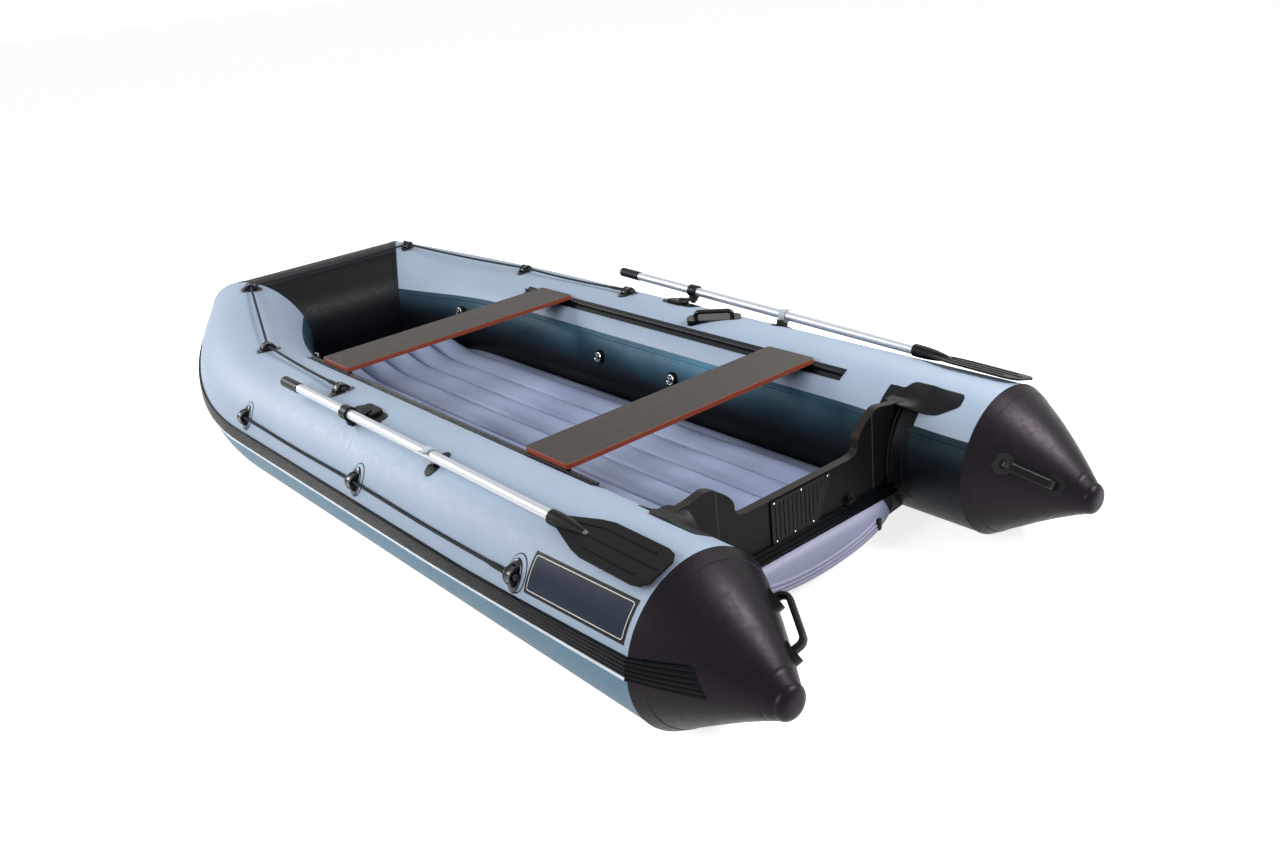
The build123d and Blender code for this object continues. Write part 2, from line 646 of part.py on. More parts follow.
# Tow ring under the bow: a round pad with a webbing lug and a steel ring.
bow_z = corner.Z
tow_angle = -38
tow_out = Vector(0, cos(radians(tow_angle)), sin(radians(tow_angle)))
tow_plane = Plane(origin=Vector(0, corner.Y, bow_z) + tow_out * tube_radius, x_dir=(1, 0, 0), z_dir=tow_out)
tow_pad = raised(tow_plane, Circle(46), 43, -40) - bow_tube
tow_lug = raised(tow_plane, RectangleRounded(34, 16, 4), 19, -5) - bow_tube
ring_centre = tow_plane.from_local_coords(Vector(0, -24, 8))
ring_plane = Plane(origin=ring_centre, x_dir=(1, 0, 0), z_dir=tow_out)
tow_ring = ring_plane * Torus(24, 4)
nodes["bow_tow_ring"] = tow_pad + tow_lug + tow_ring - bow_tube

# ---- write one file for each node ---------------------------------------------------------------------------
os.makedirs("parts", exist_ok=True)
for name, shape in nodes.items():
    export_step(shape, f"parts/{name}.step")
print(len(nodes), "nodes; bow corner", corner, "pin axis", pin_axis, "oar length", round(oar_length))
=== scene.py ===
from math import cos, pi, radians, sin
import bpy
import numpy as np
from mathutils import Matrix


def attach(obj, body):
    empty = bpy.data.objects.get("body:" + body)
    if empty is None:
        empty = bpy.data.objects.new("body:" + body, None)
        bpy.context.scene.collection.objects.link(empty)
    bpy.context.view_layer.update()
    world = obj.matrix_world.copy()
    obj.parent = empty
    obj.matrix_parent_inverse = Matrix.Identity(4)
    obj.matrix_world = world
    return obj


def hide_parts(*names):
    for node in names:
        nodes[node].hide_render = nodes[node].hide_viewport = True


# The looks of an inflatable boat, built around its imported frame.
# Metres, with X to starboard, Y to the bow and Z up.

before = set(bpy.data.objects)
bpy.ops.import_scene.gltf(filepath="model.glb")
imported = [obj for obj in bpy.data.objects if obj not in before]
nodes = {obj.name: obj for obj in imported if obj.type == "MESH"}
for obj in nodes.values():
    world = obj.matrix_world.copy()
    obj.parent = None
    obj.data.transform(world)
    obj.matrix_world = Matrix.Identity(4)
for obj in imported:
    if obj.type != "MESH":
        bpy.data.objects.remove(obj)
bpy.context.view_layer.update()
sides = (("starboard", 1.0), ("port", -1.0))
print("frame loaded:", len(nodes), "nodes")


def smoothStep(low, high, value):
    # 0 before low and 1 past high; between them three squares less two cubes of the share covered.
    share = np.clip((value - low) / (high - low), 0.0, 1.0)
    return share * share * (3.0 - 2.0 * share)


def unit(vector):
    # A vector divided by its own length.
    vector = np.asarray(vector, float)
    return vector / np.linalg.norm(vector, axis=-1, keepdims=True)


# The tubes' centre line: straight, bent in and up, a short straight run, mitred across the bow.
hull = {
    "tubeRadius": 0.218, "tubeOffset": 0.590, "seamY": -1.430, "bendY": 0.685,
    "bendRadius": 1.464, "bendAngle": radians(33.64), "bendRise": radians(19.4), "bendRun": 0.060,
}
straightLength = hull["bendY"] - hull["seamY"]
arcLength = hull["bendRadius"] * hull["bendAngle"]
mitreLength = straightLength + arcLength + hull["bendRun"]
inboard = np.array([-cos(hull["bendRise"]), 0.0, sin(hull["bendRise"])])
bendUp = np.array([sin(hull["bendRise"]), 0.0, cos(hull["bendRise"])])
ahead = np.array([0.0, 1.0, 0.0])
runDirection = inboard * sin(hull["bendAngle"]) + ahead * cos(hull["bendAngle"])
bendStart = np.array([hull["tubeOffset"], hull["bendY"], hull["tubeRadius"]])
runStart = (bendStart + inboard * hull["bendRadius"] * (1 - cos(hull["bendAngle"]))
            + ahead * hull["bendRadius"] * sin(hull["bendAngle"]))
bowCorner = runStart + runDirection * hull["bendRun"]
mitreNormal = runDirection + np.array([-1.0, 0.0, 0.0])
hullLength = mitreLength + bowCorner[0]


def hullPoint(along, angle, rise=0.0, side=1.0):
    # A point at a distance along one side from the cone seam, at an angle round the tube
    # (0 outboard, 90 the crest) and so far above its skin. The circle is carried straight, then
    # turned about the bend's axis, then slid along its end until it meets the mitre plane,
    # and from there drawn level to the middle of the bow.
    along, angle, rise = np.broadcast_arrays(along, np.radians(angle), rise)
    turn = np.clip((along - straightLength) / hull["bendRadius"], 0.0, hull["bendAngle"])[..., None]
    reach = (hull["tubeRadius"] + rise)[..., None]
    outward = np.cos(angle + hull["bendRise"])[..., None]
    upward = np.sin(angle + hull["bendRise"])[..., None]
    radial = outward * (-inboard * np.cos(turn) + ahead * np.sin(turn)) + upward * bendUp
    centre = (bendStart + inboard * hull["bendRadius"] * (1 - np.cos(turn))
              + ahead * hull["bendRadius"] * np.sin(turn)
              + ahead * (np.minimum(along, straightLength) - straightLength)[..., None])
    point = centre + reach * radial
    slid = np.clip((along - straightLength - arcLength) / hull["bendRun"], 0.0, 1.0)[..., None]
    toMitre = ((bowCorner - point) @ mitreNormal / (runDirection @ mitreNormal))[..., None]
    point = point + runDirection * toMitre * slid
    across = np.clip((along - mitreLength) / bowCorner[0], 0.0, 1.0)
    point[..., 0] = point[..., 0] * (1.0 - across)
    point[..., 0] *= side
    return point


def nearHull(place, ahead, around, height):
    # A point by its offsets from a place (along, angle, side): ahead, round the tube and outwards.
    along, angle, side = place
    return hullPoint(along + ahead, angle + np.degrees(around / hull["tubeRadius"]), height, side)


def closedGrid(patch):
    # One grid of points as a closed surface: its columns close into a loop, a fan shuts its first
    # row and another its last, and all faces turn round if the volume inside comes out negative.
    points = np.asarray(patch["points"], float)
    rows, columns = points.shape[:2]
    uv = patch.get("uv")
    if uv is None:
        uv = np.stack(np.meshgrid(np.linspace(0, 1, columns + 1), np.linspace(0, 1, rows)), axis=-1)
    material = np.broadcast_to(patch.get("material", 0), (columns,))
    index = np.arange(rows * columns).reshape(rows, columns)
    index = np.concatenate([index, index[:, :1]], axis=1)
    before, after = slice(None, -1), slice(1, None)
    cell = [(before, before), (before, after), (after, after), (after, before)]
    quads = np.stack([index[corner] for corner in cell], axis=-1).reshape(-1, 4)
    quadUv = np.stack([uv[corner] for corner in cell], axis=2).reshape(-1, 4, 2)
    blocks = [(quads, quadUv, np.tile(material, rows - 1))]
    for pole, row, first, second in ((0, 0, after, before), (1, -1, before, after)):
        poles = np.full(columns, rows * columns + pole)
        fan = np.stack([index[row, first], index[row, second], poles], axis=-1)
        middle = np.broadcast_to(uv[row].mean(axis=0), (columns, 2))
        blocks.append((fan, np.stack([uv[row, first], uv[row, second], middle], axis=1), material))
    points = np.concatenate([points.reshape(-1, 3), [points[0].mean(axis=0)], [points[-1].mean(axis=0)]])
    local = points - points.mean(axis=0)
    triangles = np.concatenate([quads[:, [0, 1, 2]], quads[:, [0, 2, 3]], blocks[1][0], blocks[2][0]])
    a, b, c = (local[triangles[:, k]] for k in range(3))
    turn = -1 if np.einsum("ij,ij->i", a, np.cross(b, c)).sum() < 0 else 1
    return points, [(faces[:, ::turn], faceUv[:, ::turn], kind) for faces, faceUv, kind in blocks]


def makePiece(name, patches, materials, replaced=(), sharpAngle=40):
    # Joins closed grids into one mesh that rides on the hull, in place of the nodes it replaces.
    verts, faces, corners, slots = [], [], [], []
    offset = 0
    for patch in patches:
        points, blocks = closedGrid(patch)
        for block, blockUv, kind in blocks:
            faces.extend((block + offset).tolist())
            corners.append(blockUv.reshape(-1, 2))
            slots.append(kind)
        verts.append(points)
        offset += len(points)
    mesh = bpy.data.meshes.new(name)
    mesh.from_pydata(np.concatenate(verts), [], faces)
    layer = mesh.uv_layers.new(name="surface")
    layer.data.foreach_set("uv", np.concatenate(corners).ravel().astype(np.float32))
    mesh.polygons.foreach_set("material_index", np.concatenate(slots).astype(np.int32))
    mesh.polygons.foreach_set("use_smooth", np.ones(len(mesh.polygons), bool))
    for material in materials if isinstance(materials, (list, tuple)) else [materials]:
        mesh.materials.append(material)
    mesh.set_sharp_from_angle(angle=radians(sharpAngle))
    mesh.update()
    piece = bpy.data.objects.new(name, mesh)
    bpy.context.scene.collection.objects.link(piece)
    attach(piece, "hull")
    if replaced:
        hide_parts(*replaced)


def columnsOf(rows, axes=1):
    # A list of rows turned into one array for each of its columns, with axes to spread over.
    return [np.array(column).reshape(-1, *[1] * axes) for column in zip(*rows)]


def padPatch(place, ahead, around, rows, material=0, lift=None):
    # A flat piece on the skin: its outline drawn in to the middle, row by row, each at its height.
    share, height = columnsOf(rows)
    a, s = share * ahead, share * around
    extra = lift(a, s) if lift else 0.0
    return {"points": nearHull(place, a, s, height + extra), "material": material}


def sheetPatch(top, bottom, uv=None, material=0):
    # A thin sheet: its top grid and its bottom grid joined into one loop at each row.
    return {"points": np.concatenate([top, bottom[:, ::-1]], axis=1), "uv": uv, "material": material}


def turnedPatch(centre, axis, profile, columns):
    # A profile of (radius, height) pairs turned about an axis.
    slanted = [0.31, 0.52, 0.80]  # any direction that no axis here runs along
    axis = unit(axis)
    across = unit(np.cross(axis, slanted))
    other = np.cross(axis, across)
    radius, height = columnsOf(profile, 2)
    turn = np.linspace(0, 2 * pi, columns, endpoint=False)[None, :, None]
    return {"points": np.asarray(centre) + height * axis
            + radius * (np.cos(turn) * across + np.sin(turn) * other)}


def powered(value, power):
    # A sine or cosine raised to a power with its sign kept, which squares a circle off.
    return np.sign(value) * np.abs(value) ** power


def pebblePatch(centre, axes, power, rows=13, columns=24):
    # A superellipsoid: powered sines and cosines of two angles along its three half axes.
    almost = pi / 2 - 0.03  # the fans close the rest
    rise = np.linspace(-almost, almost, rows)[:, None]
    turn = np.linspace(0, 2 * pi, columns, endpoint=False)[None, :]
    shape = (powered(np.cos(rise), power) * powered(np.cos(turn), power),
             powered(np.cos(rise), power) * powered(np.sin(turn), power),
             powered(np.sin(rise), power) + 0 * turn)
    return {"points": np.asarray(centre) + sum(s[..., None] * np.asarray(a) for s, a in zip(shape, axes))}


def sweptPatch(path, outward, halfWide, halfHigh, power=1.0, columns=16):
    # A superellipse carried along a path, square to it: powered cosines across and sines outwards.
    tangent = unit(np.gradient(path, axis=0))
    across = unit(np.cross(tangent, outward))
    up = np.cross(across, tangent)
    turn = np.linspace(0, 2 * pi, columns, endpoint=False)[None, :, None]
    return {"points": path[:, None] + halfWide * powered(np.cos(turn), power) * across[:, None]
            + halfHigh * powered(np.sin(turn), power) * up[:, None]}


laidRope = {
    "pitch": 0.027, "strands": 3, "columns": 7, "rowsPerTurn": 10,
    "strandOffset": 0.53, "strandRadius": 0.50, "fibresPerMetre": 20.0,
}


def ropePatches(path, outward, radius):
    # Laid rope: each strand is a thin tube whose middle circles the path once every pitch.
    steps = np.linalg.norm(np.diff(path, axis=0), axis=1)
    length = np.concatenate([[0.0], np.cumsum(steps)])
    at = np.linspace(0.0, length[-1], int(length[-1] / laidRope["pitch"] * laidRope["rowsPerTurn"]) + 2)
    path = np.stack([np.interp(at, length, path[:, k]) for k in range(3)], axis=-1)
    outward = np.stack([np.interp(at, length, outward[:, k]) for k in range(3)], axis=-1)
    radius = np.interp(at, length, np.broadcast_to(radius, length.shape))[:, None]
    tangent = unit(np.gradient(path, axis=0))
    across = unit(np.cross(tangent, outward))
    up = np.cross(across, tangent)
    ring = np.linspace(0, 2 * pi, laidRope["columns"], endpoint=False)[None, :, None]
    circle = np.cos(ring) * up[:, None] + np.sin(ring) * across[:, None]
    uv = np.stack(np.meshgrid(np.linspace(0, 1, laidRope["columns"] + 1),
                              at * laidRope["fibresPerMetre"]), axis=-1)[..., ::-1]
    patches = []
    for strand in range(laidRope["strands"]):
        phase = (2 * pi * (at / laidRope["pitch"] + strand / laidRope["strands"]))[:, None]
        middle = path + radius * laidRope["strandOffset"] * (np.cos(phase) * up + np.sin(phase) * across)
        tube = laidRope["strandRadius"] * radius[..., None] * circle
        patches.append({"points": middle[:, None] + tube, "uv": uv})
    return patches


def tone(red, green, blue):
    # A colour as a paint chart gives it, turned to the linear values that shaders take:
    # a straight line near black, and a power of 2.4 above it.
    values = np.array([red, green, blue]) / 255.0
    linear = np.where(values <= 0.04045, values / 12.92, ((values + 0.055) / 1.055) ** 2.4)
    return (*linear.tolist(), 1.0)


def shade(colour, factor):
    # A colour times a factor, no part of it past full.
    return tuple(min(1.0, c * factor) for c in colour[:3]) + (1.0,)


# A finish in the making: a material, its main shader and short ways to feed it.
class Shader:
    def __init__(self, name, colour, roughness, metallic=0.0, specular=0.5):
        self.material = bpy.data.materials.new(name)
        self.material.use_nodes = True
        self.tree = self.material.node_tree
        self.main = self.tree.nodes["Principled BSDF"]
        self.main.inputs["Base Color"].default_value = colour
        self.main.inputs["Roughness"].default_value = roughness
        self.main.inputs["Metallic"].default_value = metallic
        self.main.inputs["Specular IOR Level"].default_value = specular

    def add(self, kind, settings=None, **inputs):
        # A node with its settings, and its inputs by name.
        node = self.tree.nodes.new("ShaderNode" + kind)
        for key, value in (settings or {}).items():
            setattr(node, key, value)
        for key, value in inputs.items():
            self.put(node, key.replace("_", " "), value)
        return node

    def put(self, node, socket, value):
        # A socket is given by its name or its number, and takes a link or a plain value.
        target = node.inputs[socket]
        if isinstance(value, bpy.types.NodeSocket):
            self.tree.links.new(value, target)
        else:
            target.default_value = value

    def math(self, operation, first, second=0.0):
        # One step of arithmetic on two numbers, or on the first alone.
        node = self.add("Math", {"operation": operation})
        self.put(node, 0, first)
        self.put(node, 1, second)
        return node.outputs[0]

    def product(self, *factors):
        # All factors multiplied, two at a time.
        result = factors[0]
        for factor in factors[1:]:
            result = self.math("MULTIPLY", result, factor)
        return result

    def size(self, value):
        # A value without its sign.
        return self.math("ABSOLUTE", value)

    def objectPoint(self):
        # A place in the boat's own frame, in metres.
        return self.add("TexCoord").outputs["Object"]

    def objectAxis(self, letter):
        # One coordinate of that place.
        return self.add("SeparateXYZ", Vector=self.objectPoint()).outputs[letter]

    def facing(self, letter):
        # How squarely a face looks along an axis, either way.
        split = self.add("SeparateXYZ", Vector=self.add("NewGeometry").outputs["True Normal"])
        return self.size(split.outputs[letter])

    def uvPoint(self):
        # The two coordinates that run with the piece's surface.
        node = self.add("UVMap", {"uv_map": "surface"})
        split = self.add("SeparateXYZ", Vector=node.outputs["UV"])
        return split.outputs["X"], split.outputs["Y"]

    def noise(self, scale, detail=2.0, roughness=0.5, point=None):
        # Soft noise from none to one, so many waves to a metre.
        return self.add("TexNoise", Vector=point or self.objectPoint(), Scale=scale, Detail=detail,
                        Roughness=roughness).outputs["Fac"]

    def stretched(self, scales):
        # The object's own coordinates, each times its scale.
        return self.add("Mapping", Vector=self.objectPoint(), Scale=scales).outputs["Vector"]

    def ramp(self, value, low, high, start=0.0, end=1.0):
        # From low at the start to high at the end in a straight line, and level beyond.
        return self.add("MapRange", Value=value, From_Min=start, From_Max=end, To_Min=low,
                        To_Max=high).outputs["Result"]

    def line(self, value, middle, half):
        # One inside a narrow band about a value, and nothing elsewhere.
        return self.math("LESS_THAN", self.size(self.math("SUBTRACT", value, middle)), half)

    def mix(self, factor, first, second):
        # A colour mix, whose two colour sockets are numbers 6 and 7 of its node.
        node = self.add("Mix", {"data_type": "RGBA"}, Factor=factor)
        self.put(node, 6, first)
        self.put(node, 7, second)
        return node.outputs[2]

    def mottle(self, colour, amount, scale):
        # The colour drifts a little darker and lighter over the surface.
        drift = self.ramp(self.noise(scale, 3.0), 0.0, 1.0, 0.3, 0.7)
        return self.mix(drift, shade(colour, 1 - amount), shade(colour, 1 + amount))

    def colour(self, value):
        self.put(self.main, "Base Color", value)

    def rough(self, value):
        self.put(self.main, "Roughness", value)

    def patchyGloss(self, scale, detail, low, high, start=0.0, end=1.0):
        # The roughness drifts between two values.
        self.rough(self.ramp(self.noise(scale, detail), low, high, start, end))

    def bump(self, height, strength, distance):
        # A bump laid over the bumps that are there already.
        previous = self.main.inputs["Normal"]
        node = self.add("Bump", Height=height, Strength=strength, Distance=distance)
        if previous.is_linked:
            self.tree.links.new(previous.links[0].from_socket, node.inputs["Normal"])
        self.tree.links.new(node.outputs["Normal"], previous)

    def grain(self, scale, strength, distance):
        # A fine bump from noise.
        self.bump(self.noise(scale, 2.0), strength, distance)


cloth = {
    "grey": tone(146, 162, 182), "shadowGrey": tone(92, 128, 150), "black": tone(10, 12, 15),
    "cone": tone(7, 7, 9), "coneTint": (1.0, 0.80, 1.0, 1.0), "mottle": 0.05, "mottleScale": 2.5,
    "glossScale": 60.0, "glossDetail": 4.0, "glossierBy": 0.05, "duller": 0.07,
    "weaveScale": 420.0, "weaveStrength": 0.25, "weaveHeight": 0.00025,
    "slackScale": 5.0, "slackStrength": 0.5, "slackHeight": 0.003,
}


def clothGloss(shader, low, high):
    # A satin skin, patchy between two roughnesses.
    shader.patchyGloss(cloth["glossScale"], cloth["glossDetail"], low, high, start=0.3, end=0.7)


def clothGrain(shader, slack=1.0):
    # A faint woven grain, and slow dents where the cloth isn't quite taut.
    weave = shader.add("TexVoronoi", {"feature": "F1"}, Vector=shader.objectPoint(),
                       Scale=cloth["weaveScale"])
    shader.bump(weave.outputs["Distance"], cloth["weaveStrength"], cloth["weaveHeight"])
    shader.bump(shader.noise(cloth["slackScale"], 1.0), cloth["slackStrength"],
                cloth["slackHeight"] * slack)


def coatedFabric(name, colour, roughness, specular, tint=None):
    # Coated cloth under a satin skin.
    shader = Shader(name, colour, roughness, specular=specular)
    if tint:
        shader.main.inputs["Specular Tint"].default_value = tint
    shader.colour(shader.mottle(colour, cloth["mottle"], cloth["mottleScale"]))
    clothGloss(shader, roughness - cloth["glossierBy"], roughness + cloth["duller"])
    clothGrain(shader)
    return shader.material


# Inboard black cloth: its painted sheen, a bluish reflection painted into its colour, lies between two angles
# round the tube, and each of its fades is (least, most, where it starts, where it ends) in shares of the
# tube's length.
paintedSheen = {
    "colour": tone(74, 118, 142), "tint": (0.62, 0.85, 1.0, 1.0), "fromAngle": 150.0, "toAngle": 181.0,
    "fall": 1.5, "sternFade": (0.12, 1.0, 0.05, 0.30), "bowFade": (1.0, 0.25, 0.55, 0.85),
    "patchScale": 3.2, "patchFade": (0.45, 1.0, 0.35, 0.6), "roughness": 0.40, "specular": 0.15,
}


def blackWithPaintedSheen():
    # Black cloth with a painted bluish sheen below its seam, a reflection painted into its colour: full at
    # the seam, it falls as a power of the way down the tube, and fades towards both ends of the boat and in
    # soft patches.
    shader = Shader("innerBlackFabric", cloth["black"], paintedSheen["roughness"], specular=paintedSheen["specular"])
    shader.main.inputs["Specular Tint"].default_value = paintedSheen["tint"]
    turn, along = shader.uvPoint()
    down = shader.ramp(turn, 1.0, 0.0, paintedSheen["fromAngle"] / 360.0, paintedSheen["toAngle"] / 360.0)
    amount = shader.product(shader.math("POWER", down, paintedSheen["fall"]),
                            shader.ramp(along, *paintedSheen["sternFade"]), shader.ramp(along, *paintedSheen["bowFade"]),
                            shader.ramp(shader.noise(paintedSheen["patchScale"]), *paintedSheen["patchFade"]))
    # The painted sheen: a bluish reflection mixed into the black base colour.
    shader.colour(shader.mix(amount, cloth["black"], paintedSheen["colour"]))
    clothGloss(shader, paintedSheen["roughness"] - cloth["glossierBy"], paintedSheen["roughness"] + cloth["duller"])
    clothGrain(shader)
    return shader.material


floorLook = {
    "colour": tone(140, 151, 180), "blackBehind": -1.16, "tail": tone(140, 144, 170), "tailHalf": 0.303,
}


def floorCloth():
    # Pale floor cloth, black behind the transom where it meets the tubes.
    shader = Shader("floorFabric", floorLook["colour"], 0.42, specular=0.3)
    atStern = shader.math("LESS_THAN", shader.objectAxis("Y"), floorLook["blackBehind"])
    pale = shader.mottle(floorLook["colour"], amount=0.06, scale=2.5)
    shader.colour(shader.mix(atStern, pale, cloth["black"]))
    clothGloss(shader, low=0.37, high=0.5)
    clothGrain(shader)
    return shader.material


def tailFabric():
    # The floor's tail: pale cloth between black side pieces.
    shader = Shader("tailFabric", floorLook["tail"], 0.42, specular=0.35)
    atSide = shader.math("GREATER_THAN", shader.size(shader.objectAxis("X")), floorLook["tailHalf"])
    pale = shader.mottle(floorLook["tail"], amount=0.06, scale=4.0)
    shader.colour(shader.mix(atSide, pale, cloth["black"]))
    clothGloss(shader, low=0.38, high=0.5)
    clothGrain(shader, slack=0.6)
    return shader.material


plastic = {
    "black": tone(9, 10, 12), "mottle": 0.12, "mottleScale": 14.0, "glossScale": 35.0, "glossDetail": 3.0,
    "glossierBy": 0.07, "duller": 0.10, "pebbleStrength": 0.12, "pebbleHeight": 0.0002,
}


def mouldedPlastic(name, colour, roughness, grain, specular):
    # Moulded plastic or rubber: an even tone with a fine pebbled skin.
    shader = Shader(name, colour, roughness, specular=specular)
    shader.colour(shader.mottle(colour, plastic["mottle"], plastic["mottleScale"]))
    shader.patchyGloss(plastic["glossScale"], plastic["glossDetail"], roughness - plastic["glossierBy"],
                       roughness + plastic["duller"])
    shader.grain(grain, plastic["pebbleStrength"], plastic["pebbleHeight"])
    return shader.material


benchWood = {
    "film": tone(53, 47, 43), "edge": tone(138, 66, 48), "plyPitch": 0.0021, "plyShade": 0.72,
    "grainShade": 0.86, "grainScale": 9.0, "grainStretch": (1.0, 7.0, 1.0),
}


def filmFacedBoard():
    # Plywood with a dark film on both faces and a sealed, reddish edge whose plies show as a
    # sine of the height, one wave to each pitch.
    shader = Shader("filmFacedBoard", benchWood["film"], 0.4, specular=0.15)
    flat = shader.math("GREATER_THAN", shader.facing("Z"), 0.8)
    ply = shader.math("SINE", shader.product(shader.objectAxis("Z"), 2 * pi / benchWood["plyPitch"]))
    plyShare = shader.ramp(ply, 0.0, 1.0, -1.0, 1.0)
    edge = shader.mix(plyShare, shade(benchWood["edge"], benchWood["plyShade"]), benchWood["edge"])
    drawn = shader.stretched(benchWood["grainStretch"])
    grain = shader.ramp(shader.noise(benchWood["grainScale"], 5.0, 0.6, drawn), 0.0, 1.0, 0.3, 0.7)
    film = shader.mix(grain, shade(benchWood["film"], benchWood["grainShade"]), benchWood["film"])
    shader.colour(shader.mix(flat, edge, film))
    shader.patchyGloss(scale=30.0, detail=4.0, low=0.36, high=0.5)
    shader.grain(scale=500.0, strength=0.15, distance=0.0003)
    return shader.material


transomLook = {
    "board": tone(11, 10, 11), "rim": tone(34, 30, 29), "seam": tone(70, 70, 74),
    "seamX": 0.300, "seamHalf": 0.0012,
}


def transomFinish():
    # Painted board: near black, with a paler rim along its edges and one seam down each wing.
    shader = Shader("transomBoard", transomLook["board"], 0.42, specular=0.10)
    onEdge = shader.math("LESS_THAN", shader.facing("Y"), 0.5)
    seam = shader.line(shader.size(shader.objectAxis("X")), transomLook["seamX"], transomLook["seamHalf"])
    board = shader.mix(seam, shader.mottle(transomLook["board"], amount=0.15, scale=9.0), transomLook["seam"])
    shader.colour(shader.mix(onEdge, board, shader.mottle(transomLook["rim"], amount=0.1, scale=20.0)))
    shader.patchyGloss(scale=40.0, detail=3.0, low=0.36, high=0.52)
    shader.grain(scale=500.0, strength=0.2, distance=0.0004)
    shader.bump(seam, strength=0.6, distance=0.0008)
    return shader.material


metal = {"tube": tone(186, 192, 198), "tubeGrain": (220.0, 6.0, 220.0), "steel": tone(200, 204, 208)}


def brushedTube():
    # Anodised tube: pale metal with a faint grain drawn along it.
    shader = Shader("oarTube", metal["tube"], 0.30, metallic=0.75)
    streak = shader.noise(3.0, 3.0, 0.5, shader.stretched(metal["tubeGrain"]))
    shader.rough(shader.ramp(streak, 0.26, 0.42))
    shader.bump(streak, strength=0.1, distance=0.0002)
    return shader.material


# The plate's line: how far its corners' centres lie from the middle along and up the plate, the
# plate's height in plate lengths, and the line's corner radius and half width in the same unit.
plateLook = {
    "face": tone(28, 38, 54), "line": tone(205, 200, 188), "edge": tone(20, 22, 26),
    "cornerAlong": 0.459, "cornerUp": 0.345, "height": 0.27, "cornerRadius": 0.0185, "lineHalf": 0.0032,
}


def blankPlate():
    # A blank plate: dark, with one thin pale line a little inside its edge, rounded at the corners.
    # The line is where the distance from an inner box is constant, counted in plate lengths.
    shader = Shader("labelPlate", plateLook["face"], 0.35, specular=0.12)
    past = []
    for at, corner in zip(shader.uvPoint(), (plateLook["cornerAlong"], plateLook["cornerUp"])):
        fromMiddle = shader.size(shader.math("SUBTRACT", at, 0.5))
        past.append(shader.math("MAXIMUM", shader.math("SUBTRACT", fromMiddle, corner), 0.0))
    past[1] = shader.product(past[1], plateLook["height"])
    squares = [shader.product(offset, offset) for offset in past]
    distance = shader.math("SQRT", shader.math("ADD", *squares))
    line = shader.line(distance, plateLook["cornerRadius"], plateLook["lineHalf"])
    beyond = shader.math("GREATER_THAN", distance, plateLook["cornerRadius"])
    face = shader.mix(beyond, shader.mottle(plateLook["face"], amount=0.12, scale=12.0), plateLook["edge"])
    shader.colour(shader.mix(line, face, plateLook["line"]))
    shader.patchyGloss(scale=40.0, detail=3.0, low=0.3, high=0.42)
    shader.grain(scale=600.0, strength=0.1, distance=0.0002)
    return shader.material


ropeLook = {
    "colour": tone(20, 22, 26), "dark": tone(12, 13, 15), "pale": tone(44, 50, 58),
    "alongScale": 2.0, "aroundScale": 9.0, "fibreScale": 6.0,
}


def ropeFibre():
    # Rope: fine fibres drawn along each strand.
    shader = Shader("ropeFibre", ropeLook["colour"], 0.6, specular=0.25)
    along, around = shader.uvPoint()
    drawn = shader.add("CombineXYZ", X=shader.product(along, ropeLook["alongScale"]),
                       Y=shader.product(around, ropeLook["aroundScale"]))
    streak = shader.noise(ropeLook["fibreScale"], 2.0, 0.6, drawn.outputs["Vector"])
    shader.colour(shader.mix(streak, ropeLook["dark"], ropeLook["pale"]))
    shader.rough(shader.ramp(streak, 0.5, 0.75))
    shader.bump(streak, strength=0.4, distance=0.0004)
    return shader.material


def brushedSteel():
    # Bare steel fittings, a little uneven in gloss.
    shader = Shader("fittingSteel", metal["steel"], 0.25, metallic=1.0)
    shader.patchyGloss(scale=80.0, detail=3.0, low=0.18, high=0.34)
    shader.grain(scale=400.0, strength=0.1, distance=0.0002)
    return shader.material


# The starboard oar's line from its pivot to its tip, the lean of its blade, and along that line
# where the blade's ribs and the clip's jaw are.
oar = {
    "pivot": np.array([0.706, -0.038, 0.460]), "tip": np.array([0.6805, -1.428, 0.4305]),
    "bladeLean": radians(74), "ribFoot": 0.0050, "ribsFrom": 1.128, "clipAt": 0.458, "jawReach": 0.0275,
    "paintedRibHighlight": tone(96, 100, 104), "clip": tone(10, 11, 13), "jaw": tone(176, 184, 190),
}
oarLine = unit(oar["tip"] - oar["pivot"])
bladeUp = np.array([cos(oar["bladeLean"]), 0.0, sin(oar["bladeLean"])])
bladeUp = unit(bladeUp - oarLine * (bladeUp @ oarLine))


def bladePlastic(side):
    # Black moulded plastic with a painted highlight, pale along the tops of the stiffening ribs: where
    # the height over the blade's own plane is more than the ribs' foot.
    shader = Shader("bladePlastic", plastic["black"], 0.42, specular=0.12)
    mirror = np.array([side, 1.0, 1.0])
    up = bladeUp * mirror
    height = shader.add("VectorMath", {"operation": "DOT_PRODUCT"})
    shader.put(height, 0, shader.objectPoint())
    shader.put(height, 1, tuple(up.tolist()))
    above = shader.math("SUBTRACT", height.outputs["Value"], float(up @ (oar["pivot"] * mirror)))
    onBlade = shader.math("LESS_THAN", shader.objectAxis("Y"), oar["pivot"][1] - oar["ribsFrom"])
    onRib = shader.product(shader.math("GREATER_THAN", above, oar["ribFoot"]), onBlade)
    body = shader.mottle(plastic["black"], plastic["mottle"], plastic["mottleScale"])
    # The pale rib tops are a painted highlight.
    shader.colour(shader.mix(onRib, body, oar["paintedRibHighlight"]))
    shader.patchyGloss(plastic["glossScale"], plastic["glossDetail"], low=0.36, high=0.5)
    shader.grain(scale=900.0, strength=0.2, distance=0.0004)
    return shader.material


